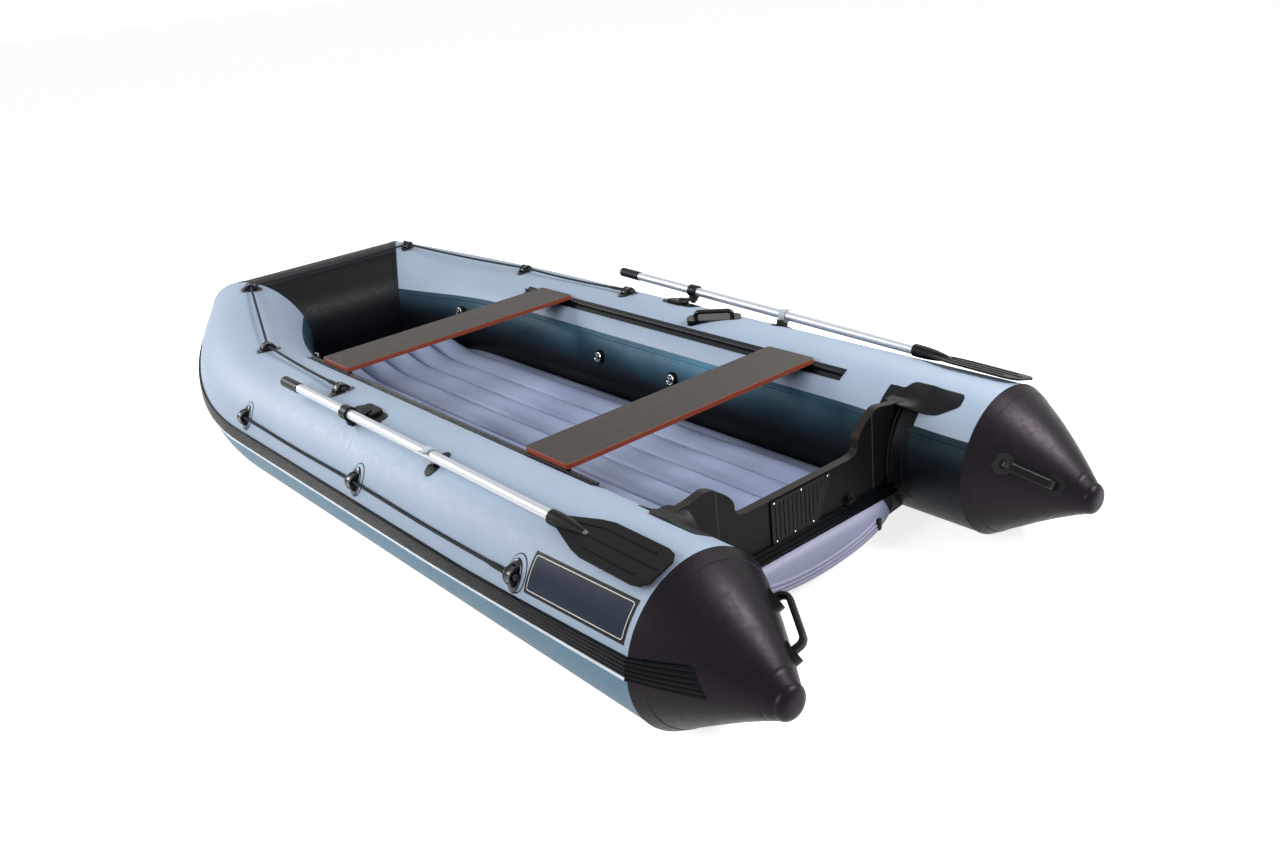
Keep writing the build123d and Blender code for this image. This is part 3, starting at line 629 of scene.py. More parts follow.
def clipPlastic(side):
    # The clip's jaw, within a reach of its own middle, is pale plastic; its foot and pad are black.
    shader = Shader("clipPlastic", oar["clip"], 0.4, specular=0.15)
    centre = (oar["pivot"] + oarLine * oar["clipAt"]) * np.array([side, 1.0, 1.0])
    away = shader.add("VectorMath", {"operation": "DISTANCE"})
    shader.put(away, 0, shader.objectPoint())
    shader.put(away, 1, tuple(centre.tolist()))
    inJaw = shader.math("LESS_THAN", away.outputs["Value"], oar["jawReach"])
    body = shader.mottle(oar["clip"], plastic["mottle"], plastic["mottleScale"])
    shader.colour(shader.mix(inJaw, body, oar["jaw"]))
    shader.patchyGloss(plastic["glossScale"], plastic["glossDetail"], low=0.3, high=0.45)
    shader.grain(scale=900.0, strength=0.2, distance=0.0004)
    return shader.material


greyFabric = coatedFabric("greyFabric", cloth["grey"], roughness=0.50, specular=0.5)
lowGrey = coatedFabric("lowGreyFabric", cloth["shadowGrey"], roughness=0.50, specular=0.3)
innerBlack = blackWithPaintedSheen()
blackFabric = coatedFabric("blackFabric", cloth["black"], roughness=0.42, specular=0.12)
coneFabric = coatedFabric("coneFabric", cloth["cone"], roughness=0.38, specular=0.17, tint=cloth["coneTint"])
floorFabric = floorCloth()
tailCloth = tailFabric()
railRubber = mouldedPlastic("railRubber", tone(7, 11, 14), roughness=0.24, grain=300.0, specular=0.09)
# Near-white rubber on the rail's lowest rib: a painted highlight along its lower edge.
railEdgeHighlight = mouldedPlastic("railEdgeHighlight", tone(210, 218, 226), roughness=0.4, grain=300.0, specular=0.2)
blackRubber = mouldedPlastic("handleRubber", tone(12, 12, 15), roughness=0.35, grain=500.0, specular=0.15)
blackPlastic = mouldedPlastic("mouldedPlastic", plastic["black"], roughness=0.32, grain=500.0, specular=0.12)
glossPlastic = mouldedPlastic("glossPlastic", tone(10, 11, 14), roughness=0.16, grain=300.0, specular=0.35)
beadPlastic = mouldedPlastic("beadPlastic", tone(10, 17, 22), roughness=0.26, grain=300.0, specular=0.2)
benchBoard = filmFacedBoard()
transomBoard = transomFinish()
oarTube = brushedTube()
plate = blankPlate()
rope = ropeFibre()
steel = brushedSteel()
print("materials made")

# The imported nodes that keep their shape, and the finish that each one gets.
finishes = {
    "transom": transomBoard, "motor_plate": blackPlastic, "clamp_plate": blackPlastic,
    "transom_base": railRubber, "drain_plug": blackPlastic, "fore_bench": benchBoard,
    "aft_bench": benchBoard, "fore_bench_runners": blackPlastic, "aft_bench_runners": blackPlastic,
    "carry_handle": glossPlastic,
}
pairedFinishes = {
    "bench_rail": beadPlastic, "oar_shaft": oarTube, "oar_grip": blackRubber, "oar_collar": blackPlastic,
    "oarlock": blackPlastic, "cone_handle": blackRubber, "valves": blackPlastic,
}
for side, sign in sides:
    for name, finish in pairedFinishes.items():
        finishes[side + "_" + name] = finish
    finishes[side + "_oar_blade"] = bladePlastic(sign)
    finishes[side + "_oar_clip"] = clipPlastic(sign)
for name, finish in finishes.items():
    nodes[name].data.materials.clear()
    nodes[name].data.materials.append(finish)
print("packed nodes finished:", len(finishes))

# The tubes' skins: steps along and round, where the black and the shaded grey cloth begin, two
# layers of tape over the inboard seam and one at each end of the bow, how far the seam drifts at
# the ends of a side, and the puckers by the mitre. Angles are in degrees.
tubeSkin = {
    "straightRows": 90, "bendRows": 64, "runRows": 16, "bowRows": 48, "columns": 144,
    "blackFrom": 144.0, "blackTo": 326.0, "tapeFrom": 144.5, "tapeTo": 151.5, "tapeEdge": 0.15,
    "layerInset": 2.35, "tapeRise": 0.0010, "secondLayer": 0.8,
    "bowTapeShare": 0.043, "bowTapeEdge": 0.0005, "bowTapeRise": 0.0012,
    "bowDrift": 9.0, "bowDriftFrom": 0.2, "sternDrift": 3.0, "sternDriftTo": 0.5,
    "driftAngle": 148.0, "driftSpread": 24.0,
    "puckerRise": 0.0009, "puckerReach": 0.05, "puckerWaves": 29.0, "puckerEnd": 0.01,
    "puckersStart": (60.0, 120.0), "puckersStop": (250.0, 200.0),
}
tapeLayers = [(tubeSkin["tapeFrom"] + inset, tubeSkin["tapeTo"] - inset)
              for inset in (0.0, tubeSkin["layerInset"])]


def roundAngles():
    # Even steps round the tube, with close pairs where an edge has to be crisp.
    even = np.linspace(0.0, 360.0, tubeSkin["columns"], endpoint=False)
    crisp = [at + way * tubeSkin["tapeEdge"] for layer in tapeLayers for at in layer for way in (-1, 1)]
    return np.unique(np.concatenate([even, crisp, [tubeSkin["blackFrom"], tubeSkin["blackTo"]]]))


def tapeRise(angle):
    # Each layer of tape is a smooth step up at its first edge less one at its last.
    edge = tubeSkin["tapeEdge"]
    wide, narrow = (smoothStep(low - edge, low + edge, angle) - smoothStep(high - edge, high + edge, angle)
                    for low, high in tapeLayers)
    return tubeSkin["tapeRise"] * (wide + tubeSkin["secondLayer"] * narrow)


def mitrePuckers(along, angle):
    # Short puckers: a sine round the tube that dies away from the mitre as an exponential, on the
    # inboard side only, and smoothed out on the mitre line itself.
    near = mitreLength - along
    ripple = np.exp(-near / tubeSkin["puckerReach"]) * np.sin(np.radians(angle) * tubeSkin["puckerWaves"])
    inboardOnly = smoothStep(*tubeSkin["puckersStart"], angle) * smoothStep(*tubeSkin["puckersStop"], angle)
    return tubeSkin["puckerRise"] * ripple * inboardOnly * smoothStep(0.0, tubeSkin["puckerEnd"], near)


def seamDrift(along, angle):
    # The inboard seam drifts lower towards both ends of a side, as a bell curve about its angle.
    atBow = smoothStep(straightLength + tubeSkin["bowDriftFrom"], mitreLength, along)
    atStern = smoothStep(tubeSkin["sternDriftTo"], 0.0, along)
    bell = np.exp(-((angle - tubeSkin["driftAngle"]) / tubeSkin["driftSpread"]) ** 2)
    return (tubeSkin["bowDrift"] * atBow + tubeSkin["sternDrift"] * atStern) * bell


angles = roundAngles()
tubeCloths = [greyFabric, innerBlack, lowGrey]
whichCloth = (angles >= tubeSkin["blackFrom"]).astype(int) + (angles >= tubeSkin["blackTo"])
alongRows = np.concatenate([
    np.linspace(0.0, straightLength, tubeSkin["straightRows"], endpoint=False),
    straightLength + np.linspace(0.0, arcLength, tubeSkin["bendRows"], endpoint=False),
    straightLength + arcLength + np.linspace(0.0, hull["bendRun"], tubeSkin["runRows"]),
])


def tubePatch(side):
    # One side's skin, from the cone seam to the mitre. Its UVs are shares of a turn and of the length.
    along, angle = np.meshgrid(alongRows, angles, indexing="ij")
    rise = tapeRise(angle) + mitrePuckers(along, angle)
    points = hullPoint(along, angle + seamDrift(along, angle), rise, side)
    uv = np.stack(np.meshgrid(np.append(angles, 360.0) / 360.0, alongRows / mitreLength), axis=-1)
    return {"points": points, "uv": uv, "material": whichCloth}


def bowPatch():
    # The starboard mitre line drawn level across to the port one, with a layer of tape at each end.
    low, high = (tubeSkin["bowTapeShare"] + way * tubeSkin["bowTapeEdge"] for way in (-1, 1))
    even = np.linspace(0.0, 1.0, tubeSkin["bowRows"])
    rows = np.unique(np.concatenate([even, [low, high, 1.0 - high, 1.0 - low]]))
    across, angle = np.meshgrid(rows, angles, indexing="ij")
    rise = tubeSkin["bowTapeRise"] * (1.0 - smoothStep(low, high, np.minimum(across, 1.0 - across)))
    level = np.ones_like(across)
    mirrored = np.stack([1.0 - 2.0 * across, level, level], axis=-1)
    return {"points": hullPoint(mitreLength, angle, rise) * mirrored}


for side, sign in sides:
    makePiece(side + "TubeSkin", [tubePatch(sign)], tubeCloths,
              replaced=(side + "_tube", side + "_bow_quarter"))
makePiece("bowSkin", [bowPatch()], blackFabric, replaced=("bow_tube",))
print("tube skins made")

# The stern cones: four rings along each (place, radius and the height of its middle), the tape
# round its root, and the grooved line and the dome of its tip.
cone = {
    "y": np.array([-1.430, -1.525, -1.615, -1.690]), "radius": np.array([0.218, 0.160, 0.098, 0.0445]),
    "z": np.array([0.218, 0.214, 0.200, 0.179]), "rows": 120, "columns": 144,
    "tapeWidth": 0.032, "tapeRise": 0.0016, "tapeRows": 7, "tapeStarts": 0.0005, "tapeStops": 0.0006,
    "clothStarts": 0.006,
    "tipLineY": -1.668, "tipLineWidth": 0.0025, "tipGroove": 0.0016,
    "tipDepth": 0.024, "tipPower": 0.65, "tipRows": 14,
}


def coneShare(y):
    # How far down the cone a place is, from none at the root to one at the last ring.
    return (y - cone["y"][0]) / (cone["y"][-1] - cone["y"][0])


coneRadiusFit = np.polyfit(coneShare(cone["y"]), cone["radius"], 3)
coneHeightFit = np.polyfit(coneShare(cone["y"]), cone["z"], 3)


def conePoint(y, angle, rise=0.0, side=1.0):
    # The cone's radius and the height of its middle are cubics through its four rings.
    reach = np.polyval(coneRadiusFit, coneShare(y)) + rise
    middle = np.polyval(coneHeightFit, coneShare(y))
    turn = np.radians(angle)
    return np.stack(np.broadcast_arrays(side * (hull["tubeOffset"] + reach * np.cos(turn)), y,
                                        middle + reach * np.sin(turn)), axis=-1)


def conePatch(side):
    # The cone from its root to its tip: a step of tape, a narrow bell-shaped groove, and a dome,
    # which is a quarter of a superellipse turned about the cone's middle.
    root, tapeEnd = hull["seamY"], hull["seamY"] - cone["tapeWidth"]
    y = np.concatenate([[root], np.linspace(root - cone["tapeStarts"], tapeEnd, cone["tapeRows"]),
                        [tapeEnd - cone["tapeStops"]],
                        np.linspace(tapeEnd - cone["clothStarts"], cone["y"][-1], cone["rows"])])[:, None]
    tape = np.zeros_like(y)
    tape[1:cone["tapeRows"] + 1] = cone["tapeRise"]
    groove = cone["tipGroove"] * np.exp(-((y - cone["tipLineY"]) / cone["tipLineWidth"]) ** 2)
    angle = np.linspace(0, 360, cone["columns"], endpoint=False)[None, :]
    body = conePoint(y, angle, tape - groove, side)
    tipTurn = np.radians(np.linspace(4.0, 86.0, cone["tipRows"]))[:, None]
    reach = cone["radius"][-1] * np.cos(tipTurn) ** cone["tipPower"]
    tip = np.stack(np.broadcast_arrays(
        side * (hull["tubeOffset"] + reach * np.cos(np.radians(angle))),
        cone["y"][-1] - cone["tipDepth"] * np.sin(tipTurn),
        cone["z"][-1] + reach * np.sin(np.radians(angle))), axis=-1)
    return {"points": np.concatenate([body, tip])}


for side, sign in sides:
    makePiece(side + "ConeSkin", [conePatch(sign)], coneFabric,
              replaced=(side + "_cone", side + "_cone_cap"))
print("cones made")

# The rub rail: its ribs, the angles of its edges and how far they sweep up towards the stern, and
# on the cone the (y, z) ends of its lower and its upper edge.
rail = {
    "ribs": 6, "base": 0.0045, "rib": 0.0042, "columnsPerRib": 9, "bury": 0.002, "low": -4.6, "high": 9.9,
    "lowSweep": 6.2, "lowSweepFrom": 0.87, "highSweep": 6.6, "highSweepFrom": 0.66, "sweepPower": 1.2,
    "tailLow": (-1.579, 0.194), "tailHigh": (-1.550, 0.272), "tailRows": 46, "tailThins": 0.25,
}
railShare = np.linspace(0.0, 1.0, rail["ribs"] * rail["columnsPerRib"] + 1)


def railRise(share):
    # Rounded ribs with narrow grooves between them: the root of a sine, over a flat band.
    ribs = np.sqrt(np.abs(np.sin(pi * rail["ribs"] * share)))
    edge = smoothStep(0.0, 0.03, share) * smoothStep(1.0, 0.97, share)
    return (rail["base"] + rail["rib"] * ribs) * edge


def railAngle(along, share):
    # The band drifts up a little towards the stern, its upper edge the sooner: each edge by a
    # power of the share of its sweep that is covered.
    low, high = (rail[edge] + rail[edge + "Sweep"]
                 * np.clip(1.0 - along / rail[edge + "SweepFrom"], 0.0, 1.0) ** rail["sweepPower"]
                 for edge in ("low", "high"))
    return low + (high - low) * share


def railPatch():
    # Both halves of the band end to end, round the bow. Its lowest rib is painted near white as a highlight.
    halfRows = np.concatenate([alongRows[:-1], mitreLength + np.linspace(0.0, bowCorner[0], 8)])
    along, share = np.meshgrid(halfRows, railShare, indexing="ij")
    sheets = []
    for rise in (railRise(share), -rail["bury"]):
        starboard, port = (hullPoint(along, railAngle(along, share), rise, sign) for _, sign in sides)
        sheets.append(np.concatenate([starboard, port[-2::-1]]))
    paintedHighlight = np.zeros(2 * len(railShare), int)
    paintedHighlight[1:rail["columnsPerRib"]] = 1
    return sheetPatch(*sheets, material=paintedHighlight)


def railTail(side):
    # On the cone the band runs between two straight lines and ends on a slant. Each height gives
    # the angle round the cone whose sine it is.
    toEnd = np.linspace(0.0, 1.0, rail["tailRows"])[:, None]
    share = railShare[None, :]
    endY = rail["tailLow"][0] + (rail["tailHigh"][0] - rail["tailLow"][0]) * share
    y = hull["seamY"] + (endY - hull["seamY"]) * toEnd
    seamLow, seamHigh = (hull["tubeRadius"] * (1 + np.sin(np.radians(railAngle(0.0, k)))) for k in (0.0, 1.0))
    low = seamLow + (rail["tailLow"][1] - seamLow) * toEnd
    high = seamHigh + (rail["tailHigh"][1] - seamHigh) * toEnd
    z = low + (high - low) * share
    reach, middle = np.polyval(coneRadiusFit, coneShare(y)), np.polyval(coneHeightFit, coneShare(y))
    angle = np.degrees(np.arcsin(np.clip((z - middle) / reach, -1, 1)))
    rise = railRise(share) * (1.0 - rail["tailThins"] * toEnd) * smoothStep(1.0, 0.97, toEnd)
    return sheetPatch(conePoint(y, angle, rise, side), conePoint(y, angle, -rail["bury"], side))


makePiece("rubRail", [railPatch()], [railRubber, railEdgeHighlight],
          replaced=("bow_rail",) + tuple(s + n for s, _ in sides for n in ("_rub_rail", "_bow_quarter_rail")))
for side, sign in sides:
    makePiece(side + "RailTail", [railTail(sign)], railRubber, replaced=(side + "_rub_rail_tail",))
print("rub rails made")

# The floor: its channels, the band along each edge, the bulbs that end the channels by the bow,
# and its underside, a shallow V that climbs towards the bow through (y, z) points.
floorShape = {
    "channels": 6, "pitch": 0.110, "crest": 0.152, "valley": 0.112, "humpPower": 2.2, "seamHalf": 0.0012,
    "edgeX": 0.445, "edgeZ": 0.098, "edgeBead": 0.016, "beadReach": 1.6,
    "aftY": -1.180, "fineFrom": 1.0, "foreY": 1.440, "columns": 300, "aftFlat": 0.4,
    "coarseRows": 70, "fineRows": 90, "bottomColumns": 60,
    "bulbEnd": 1.335, "bulbCurve": 0.10, "bulbLength": 0.09, "bowSwell": 0.066, "swellFrom": 0.92,
    "swellTo": 1.28, "tubeInset": 0.12, "followShare": 0.95, "skirt": 0.012, "keelZ": 0.006, "slope": 0.11,
    "climb": ((0.64, 0.0), (0.82, 0.006), (1.06, 0.026), (1.18, 0.046), (1.31, 0.074), (1.44, 0.100)),
}
channelsHalf = floorShape["channels"] / 2 * floorShape["pitch"]


def floorTop(x, y):
    # Round-topped channels side by side, each a hump across (the root of one less a power of the
    # way from its middle) whose ends close like bulbs, and a band with a bead along each edge.
    lane = x / floorShape["pitch"] - np.round(x / floorShape["pitch"] - 0.5) - 0.5
    hump = np.sqrt(np.clip(1.0 - np.abs(2.0 * lane) ** floorShape["humpPower"], 0.0, 1.0))
    endAt = floorShape["bulbEnd"] - floorShape["bulbCurve"] * (np.abs(x) / channelsHalf) ** 2
    left = np.clip((endAt - y) / floorShape["bulbLength"], 0.0, 1.0)
    bulb = np.sqrt(left * (2.0 - left))
    aftBulb = smoothStep(floorShape["aftY"] + 0.01, floorShape["aftY"] + 0.05, y)
    swell = floorShape["bowSwell"] * smoothStep(floorShape["swellFrom"], floorShape["swellTo"], y)
    depth = floorShape["crest"] - floorShape["valley"] + swell
    height = floorShape["aftFlat"] + (1.0 - floorShape["aftFlat"]) * aftBulb
    inner = floorShape["valley"] + depth * hump * bulb * height
    slope = np.clip((np.abs(x) - channelsHalf) / (floorShape["edgeX"] - channelsHalf), 0, 1)
    edge = floorShape["valley"] + (floorShape["edgeZ"] - floorShape["valley"]) * slope
    bead = np.sqrt(np.clip(np.sin(pi * np.clip(slope * floorShape["beadReach"], 0, 1)), 0, 1))
    return np.where(np.abs(x) < channelsHalf, inner, edge + floorShape["edgeBead"] * bead * bulb)


def floorHalfWidth(y):
    # The floor follows the circle of the tubes' bend in towards the bow, staying inside their skins.
    reach = np.clip(y - hull["bendY"], 0, None)
    inward = hull["bendRadius"] - np.sqrt(hull["bendRadius"] ** 2 - reach ** 2)
    return np.minimum(floorShape["edgeX"], hull["tubeOffset"] - inward * floorShape["followShare"]
                      - floorShape["tubeInset"])


def floorPatch():
    # The top with its channels, and below it the V of the bottom, joined along both edges.
    coarse = np.linspace(floorShape["aftY"], floorShape["fineFrom"], floorShape["coarseRows"])
    fine = np.linspace(floorShape["fineFrom"], floorShape["foreY"], floorShape["fineRows"])
    y = np.unique(np.concatenate([coarse, fine]))[:, None]
    lanes = np.arange(floorShape["channels"] + 1) - floorShape["channels"] // 2
    seams = floorShape["pitch"] * lanes
    even = np.linspace(-1, 1, floorShape["columns"]) * floorShape["edgeX"]
    beside = [seams + way * floorShape["seamHalf"] for way in (0, -1, 1)]
    x = np.unique(np.round(np.concatenate([even, *beside]), 6))[None, :]
    width = floorHalfWidth(y)
    xTop = np.clip(x, -width, width)
    top = np.stack(np.broadcast_arrays(xTop, y, floorTop(xTop, y)), axis=-1)
    xBottom = np.linspace(-1, 1, floorShape["bottomColumns"])[None, :] * (width + floorShape["skirt"])
    climb = np.interp(y, *zip(*floorShape["climb"]))
    bottomZ = np.maximum(floorShape["keelZ"] + floorShape["slope"] * np.abs(xBottom), climb)
    return sheetPatch(top, np.stack(np.broadcast_arrays(xBottom, y, bottomZ), axis=-1))


makePiece("floorSkin", [floorPatch()], floorFabric, replaced=("inflatable_floor",),
          sharpAngle=60)

# The floor's tail behind the transom: the roll's section, the strip of lines along its lower edge,
# and that edge as (x, z) points of a bowl.
tail = {
    "halfWidth": 0.334, "columns": 120, "foreY": -1.203, "aftY": -1.251, "topZ": 0.144, "rollZ": 0.076,
    "stripDepth": 0.036, "stripRise": 0.0050, "ridges": 3, "stripEnd": 0.240, "stripSlant": 0.003,
    "ridgeFoot": 0.25, "ridgePower": 0.6, "panelRows": 34, "stripRows": 40, "thickness": 0.004,
    "bowl": ((0.0, 0.047), (0.125, 0.055), (0.240, 0.078), (0.306, 0.111), (0.340, 0.137)),
    "tab": ((0.008, 0, 0), (0, 0.005, 0), (0, 0, 0.019)), "tabRise": 0.016,
}
bowlX, bowlZ = np.array(tail["bowl"]).T
bowlFit = np.polyfit(bowlX ** 2, bowlZ, 3)


def tailLowEdge(x):
    # The bowl is a cubic in the square of x, so that both halves are alike.
    return np.polyval(bowlFit, x ** 2)


def tailFace(z):
    # Seen from the side the tail rolls over in a quarter of an ellipse and then drops straight.
    share = np.clip((z - tail["rollZ"]) / (tail["topZ"] - tail["rollZ"]), 0.0, 1.0)
    return tail["foreY"] + (tail["aftY"] - tail["foreY"]) * np.sqrt(1.0 - share ** 2)


def tailPatch():
    # Each section runs from the base strip over the roll and down to the bowl-shaped lower edge,
    # with a raised strip of lines along it, and comes back underneath.
    x = np.linspace(-1, 1, tail["columns"])[:, None] * tail["halfWidth"]
    low = tailLowEdge(x)
    stripTop = np.minimum(low + tail["stripDepth"], tail["topZ"] - tail["thickness"])
    panel = (1.0 - np.linspace(0.0, 1.0, tail["panelRows"]) ** 1.3)[None, :]  # closer steps over the roll
    panelZ = stripTop + (tail["topZ"] - stripTop) * panel
    drop = np.concatenate([[0.0, 0.03], np.linspace(0.06, 0.97, tail["stripRows"]), [1.0]])[None, :]
    stripZ = stripTop - (stripTop - low) * drop
    stripGone, stripWhole = (tail["stripEnd"] + way * tail["stripSlant"] for way in (1, -1))
    hasStrip = smoothStep(stripGone, stripWhole, np.abs(x))
    wave = np.abs(np.sin(pi * tail["ridges"] * drop)) ** tail["ridgePower"]
    ridge = tail["ridgeFoot"] + (1.0 - tail["ridgeFoot"]) * wave
    edges = smoothStep(0.0, 0.04, drop) * smoothStep(1.0, 0.97, drop)
    stripRise = tail["stripRise"] * ridge * edges * hasStrip
    face = np.concatenate([tailFace(panelZ), tailFace(stripZ) - stripRise], axis=1)
    back = np.concatenate([low + tail["thickness"], tail["topZ"] + 0 * low], axis=1)
    y = np.concatenate([face, np.full(back.shape, tail["foreY"] + tail["thickness"])], axis=1)
    z = np.concatenate([panelZ, stripZ, back], axis=1)
    return {"points": np.stack(np.broadcast_arrays(x, y, z), axis=-1)}


def tailTab(side):
    # A rubber tab that closes one end of the strip.
    x = tail["stripEnd"] + 0.006
    z = tailLowEdge(x - 0.001) + tail["tabRise"]
    return pebblePatch((side * x, tail["aftY"] - 0.001, z), tail["tab"], 0.45)


makePiece("floorTailSkin", [tailPatch()], tailCloth, replaced=("floor_tail",))
makePiece("tailEndTabs", [tailTab(sign) for _, sign in sides], blackRubber)
print("floor made")

# The blank plate on the port tube: its ends, and the angles of its lower and its upper edge.
label = {
    "fromY": -1.046, "toY": -1.412, "foreAngles": (18.0, 45.4), "aftAngles": (21.4, 48.4),
    "thickness": 0.0016, "bury": 0.001, "rows": 40, "columns": 24,
}


def labelPatch():
    # A sheet on the skin, between two edges that both drift up a little towards the stern.
    aft = np.linspace(0, 1, label["rows"])[:, None]
    up = np.linspace(0, 1, label["columns"])
    along = label["fromY"] + (label["toY"] - label["fromY"]) * aft - hull["seamY"]
    low, high = (fore + (stern - fore) * aft for fore, stern in zip(label["foreAngles"], label["aftAngles"]))
    angle = low + (high - low) * up[None, :]
    there = np.concatenate([up, up[::-1], [0.0]])[None, :]
    uv = np.stack(np.broadcast_arrays(aft, there), axis=-1)
    return sheetPatch(hullPoint(along, angle, label["thickness"], -1.0),
                      hullPoint(along, angle, -label["bury"], -1.0), uv)


makePiece("labelPlate", [labelPatch()], plate)

# The band that holds the transom to each tube: its angles round the tube, its two edges, the
# board's two faces, and the upright lips that grip the board.
holder = {
    "low": 119.0, "high": 207.0, "rows": 60, "aftY": -1.248, "foreY": -1.112, "boardAft": -1.190,
    "boardFore": -1.163, "lip": 0.019, "lipWidth": 0.009, "cloth": 0.0030, "lipsFrom": 126.0, "lipsTo": 137.0,
}


def halfHolder(edgeY, boardY, way):
    # Half a profile as (y, rise, whether it is lip): two layers of cloth from an edge towards the
    # board, then a lip that stands up against the board's face.
    wide, cloth = holder["lipWidth"], holder["cloth"]
    fromEdge = [(0.0, -0.002), (0.0, 0.0012), (0.014, 0.0014), (0.0146, 0.0026)]
    fromBoard = [(wide + 0.006, cloth, 0), (wide, 0.006, 1), (wide - 0.001, 0.017, 1),
                 (wide / 2, holder["lip"], 1), (0.0004, 0.017, 1), (0.0002, cloth, 0)]
    return ([(edgeY + way * step, rise, 0) for step, rise in fromEdge]
            + [(boardY - way * step, rise, isLip) for step, rise, isLip in fromBoard])


def holderPatch(side):
    # Both halves of the profile carried round the tube. The lips fade in below the wing's end.
    profile = (halfHolder(holder["aftY"], holder["boardAft"], 1)
               + halfHolder(holder["foreY"], holder["boardFore"], -1)[::-1])
    y, rise, isLip = (np.array(column)[None, :] for column in zip(*profile))
    angle = np.linspace(holder["low"], holder["high"], holder["rows"])[:, None]
    fade = smoothStep(holder["lipsFrom"], holder["lipsTo"], angle)
    rise = np.where(isLip > 0, holder["cloth"] + (rise - holder["cloth"]) * fade, rise)
    return {"points": hullPoint(y - hull["seamY"], angle, rise, side)}


# The flap over each wing's end: its middle, its outline as (angle, y) corners, how it lifts over
# the band and over the wing, its slow waves, and its rows as (share of the outline, height).
flap = {
    "angle": 123.0, "y": -1.246,
    "outline": ((119.0, -1.168), (112.0, -1.178), (111.0, -1.190), (111.0, -1.344), (113.0, -1.351),
                (123.0, -1.358), (134.4, -1.306), (136.7, -1.254), (137.2, -1.190), (134.5, -1.136),
                (122.0, -1.145)),
    "bandLift": 0.0035, "bandFrom": -1.275, "bandTo": -1.245,
    "wingLift": 0.034, "wingAngles": (127.5, 139.0), "wingFrom": -1.285, "wingTo": -1.20, "wave": 0.0006,
    "waveAhead": 55.0, "waveAround": 0.3,
    "rows": ((0.02, 0.0030), (0.25, 0.0030), (0.5, 0.0030), (0.75, 0.0030), (0.9, 0.0030),
             (0.965, 0.0029), (0.985, 0.0024), (1.0, 0.0014), (1.0, -0.0002), (0.9, -0.0003),
             (0.6, -0.0003), (0.3, -0.0003), (0.02, -0.0003)),
}


def roundedOutline(points, steps=96, rounding=5):
    # Even steps along a closed outline, averaged over a few neighbours so that its corners round.
    points = np.array(points)
    loop = np.concatenate([points, points[:1]])
    length = np.concatenate([[0.0], np.cumsum(np.linalg.norm(np.diff(loop, axis=0), axis=1))])
    at = np.linspace(0, length[-1], steps, endpoint=False)
    even = np.stack([np.interp(at, length, loop[:, k]) for k in range(2)], axis=-1)
    shifts = range(-(rounding // 2), rounding // 2 + 1)
    return sum(np.roll(even, shift, axis=0) for shift in shifts) / rounding


def flapLift(aheadBy, aroundBy):
    # Smooth steps up onto the band and, towards the inboard edge, over the wing, and a faint wave.
    angle, y = flap["angle"] + np.degrees(aroundBy / hull["tubeRadius"]), flap["y"] + aheadBy
    onBand = flap["bandLift"] * smoothStep(flap["bandFrom"], flap["bandTo"], y)
    overWing = smoothStep(*flap["wingAngles"], angle) * smoothStep(flap["wingFrom"], flap["wingTo"], y)
    wave = flap["wave"] * np.sin(y * flap["waveAhead"] + angle * flap["waveAround"])
    return onBand + flap["wingLift"] * overWing + wave


def flapPatch(side):
    # The flap lies on the tube and lifts, towards its inboard edge, over the end of the wing.
    corners = [(y - flap["y"], radians(angle - flap["angle"]) * hull["tubeRadius"])
               for angle, y in flap["outline"]]
    aheadBy, aroundBy = roundedOutline(corners).T[:, None]
    place = (flap["y"] - hull["seamY"], flap["angle"], side)
    return padPatch(place, aheadBy, aroundBy, flap["rows"], lift=flapLift)


for side, sign in sides:
    makePiece(side + "TransomHolder", [holderPatch(sign)], blackFabric,
              replaced=(side + "_transom_holder",))
    makePiece(side + "TransomFlap", [flapPatch(sign)], blackFabric,
              replaced=(side + "_transom_flap",))

# Screws in the motor plate: two rows, and the dome of a head as (radius, height) pairs.
screws = {
    "faceY": -1.1950, "rows": ((0.2850, (-0.104, 0.0, 0.104)), (0.172, (-0.100, -0.030, 0.042))),
    "dome": ((0.0001, 0.0016), (0.0016, 0.0015), (0.0028, 0.0009), (0.0034, 0.0), (0.0034, -0.002),
             (0.0001, -0.002)),
}
makePiece("plateScrews", [turnedPatch((x, screws["faceY"], z), (0, -1, 0), screws["dome"], 16)
                          for z, row in screws["rows"] for x in row], steel)
print("transom dressed")

# An eyelet: the half sizes of its oval foot, the hole, the hood and the patch of cloth below it.
# Half of the hood is (distance from its mouth, share of the way from the hole to the hood).
eyelet = {
    "halfAround": 0.045, "halfAhead": 0.028, "padRise": 0.0045, "holeRadius": 0.0062, "holeHeight": 0.014,
    "halfHood": 0.0145, "hoodWide": 0.0225, "hoodMiddle": 0.0125, "hoodHigh": 0.0145, "hoodTaper": 0.42,
    "halfSections": ((0.008, 0.0), (0.0, 0.0), (-0.0008, 0.12), (-0.001, 0.55), (-0.0004, 0.90),
                     (0.0008, 1.06), (0.003, 1.08), (0.0045, 0.96), (0.008, 0.90)),
    "waist": 0.88, "backingAround": 0.050, "backingAhead": 0.036, "backingAft": 0.006, "backingUp": 1.6,
}
loopTurn = np.linspace(0, 2 * pi, 48, endpoint=False)


def oval(halfAhead, halfAround):
    # The offsets of an oval's outline: its half length times a sine, its half width times a cosine.
    return halfAhead * np.sin(loopTurn)[None], halfAround * np.cos(loopTurn)[None]


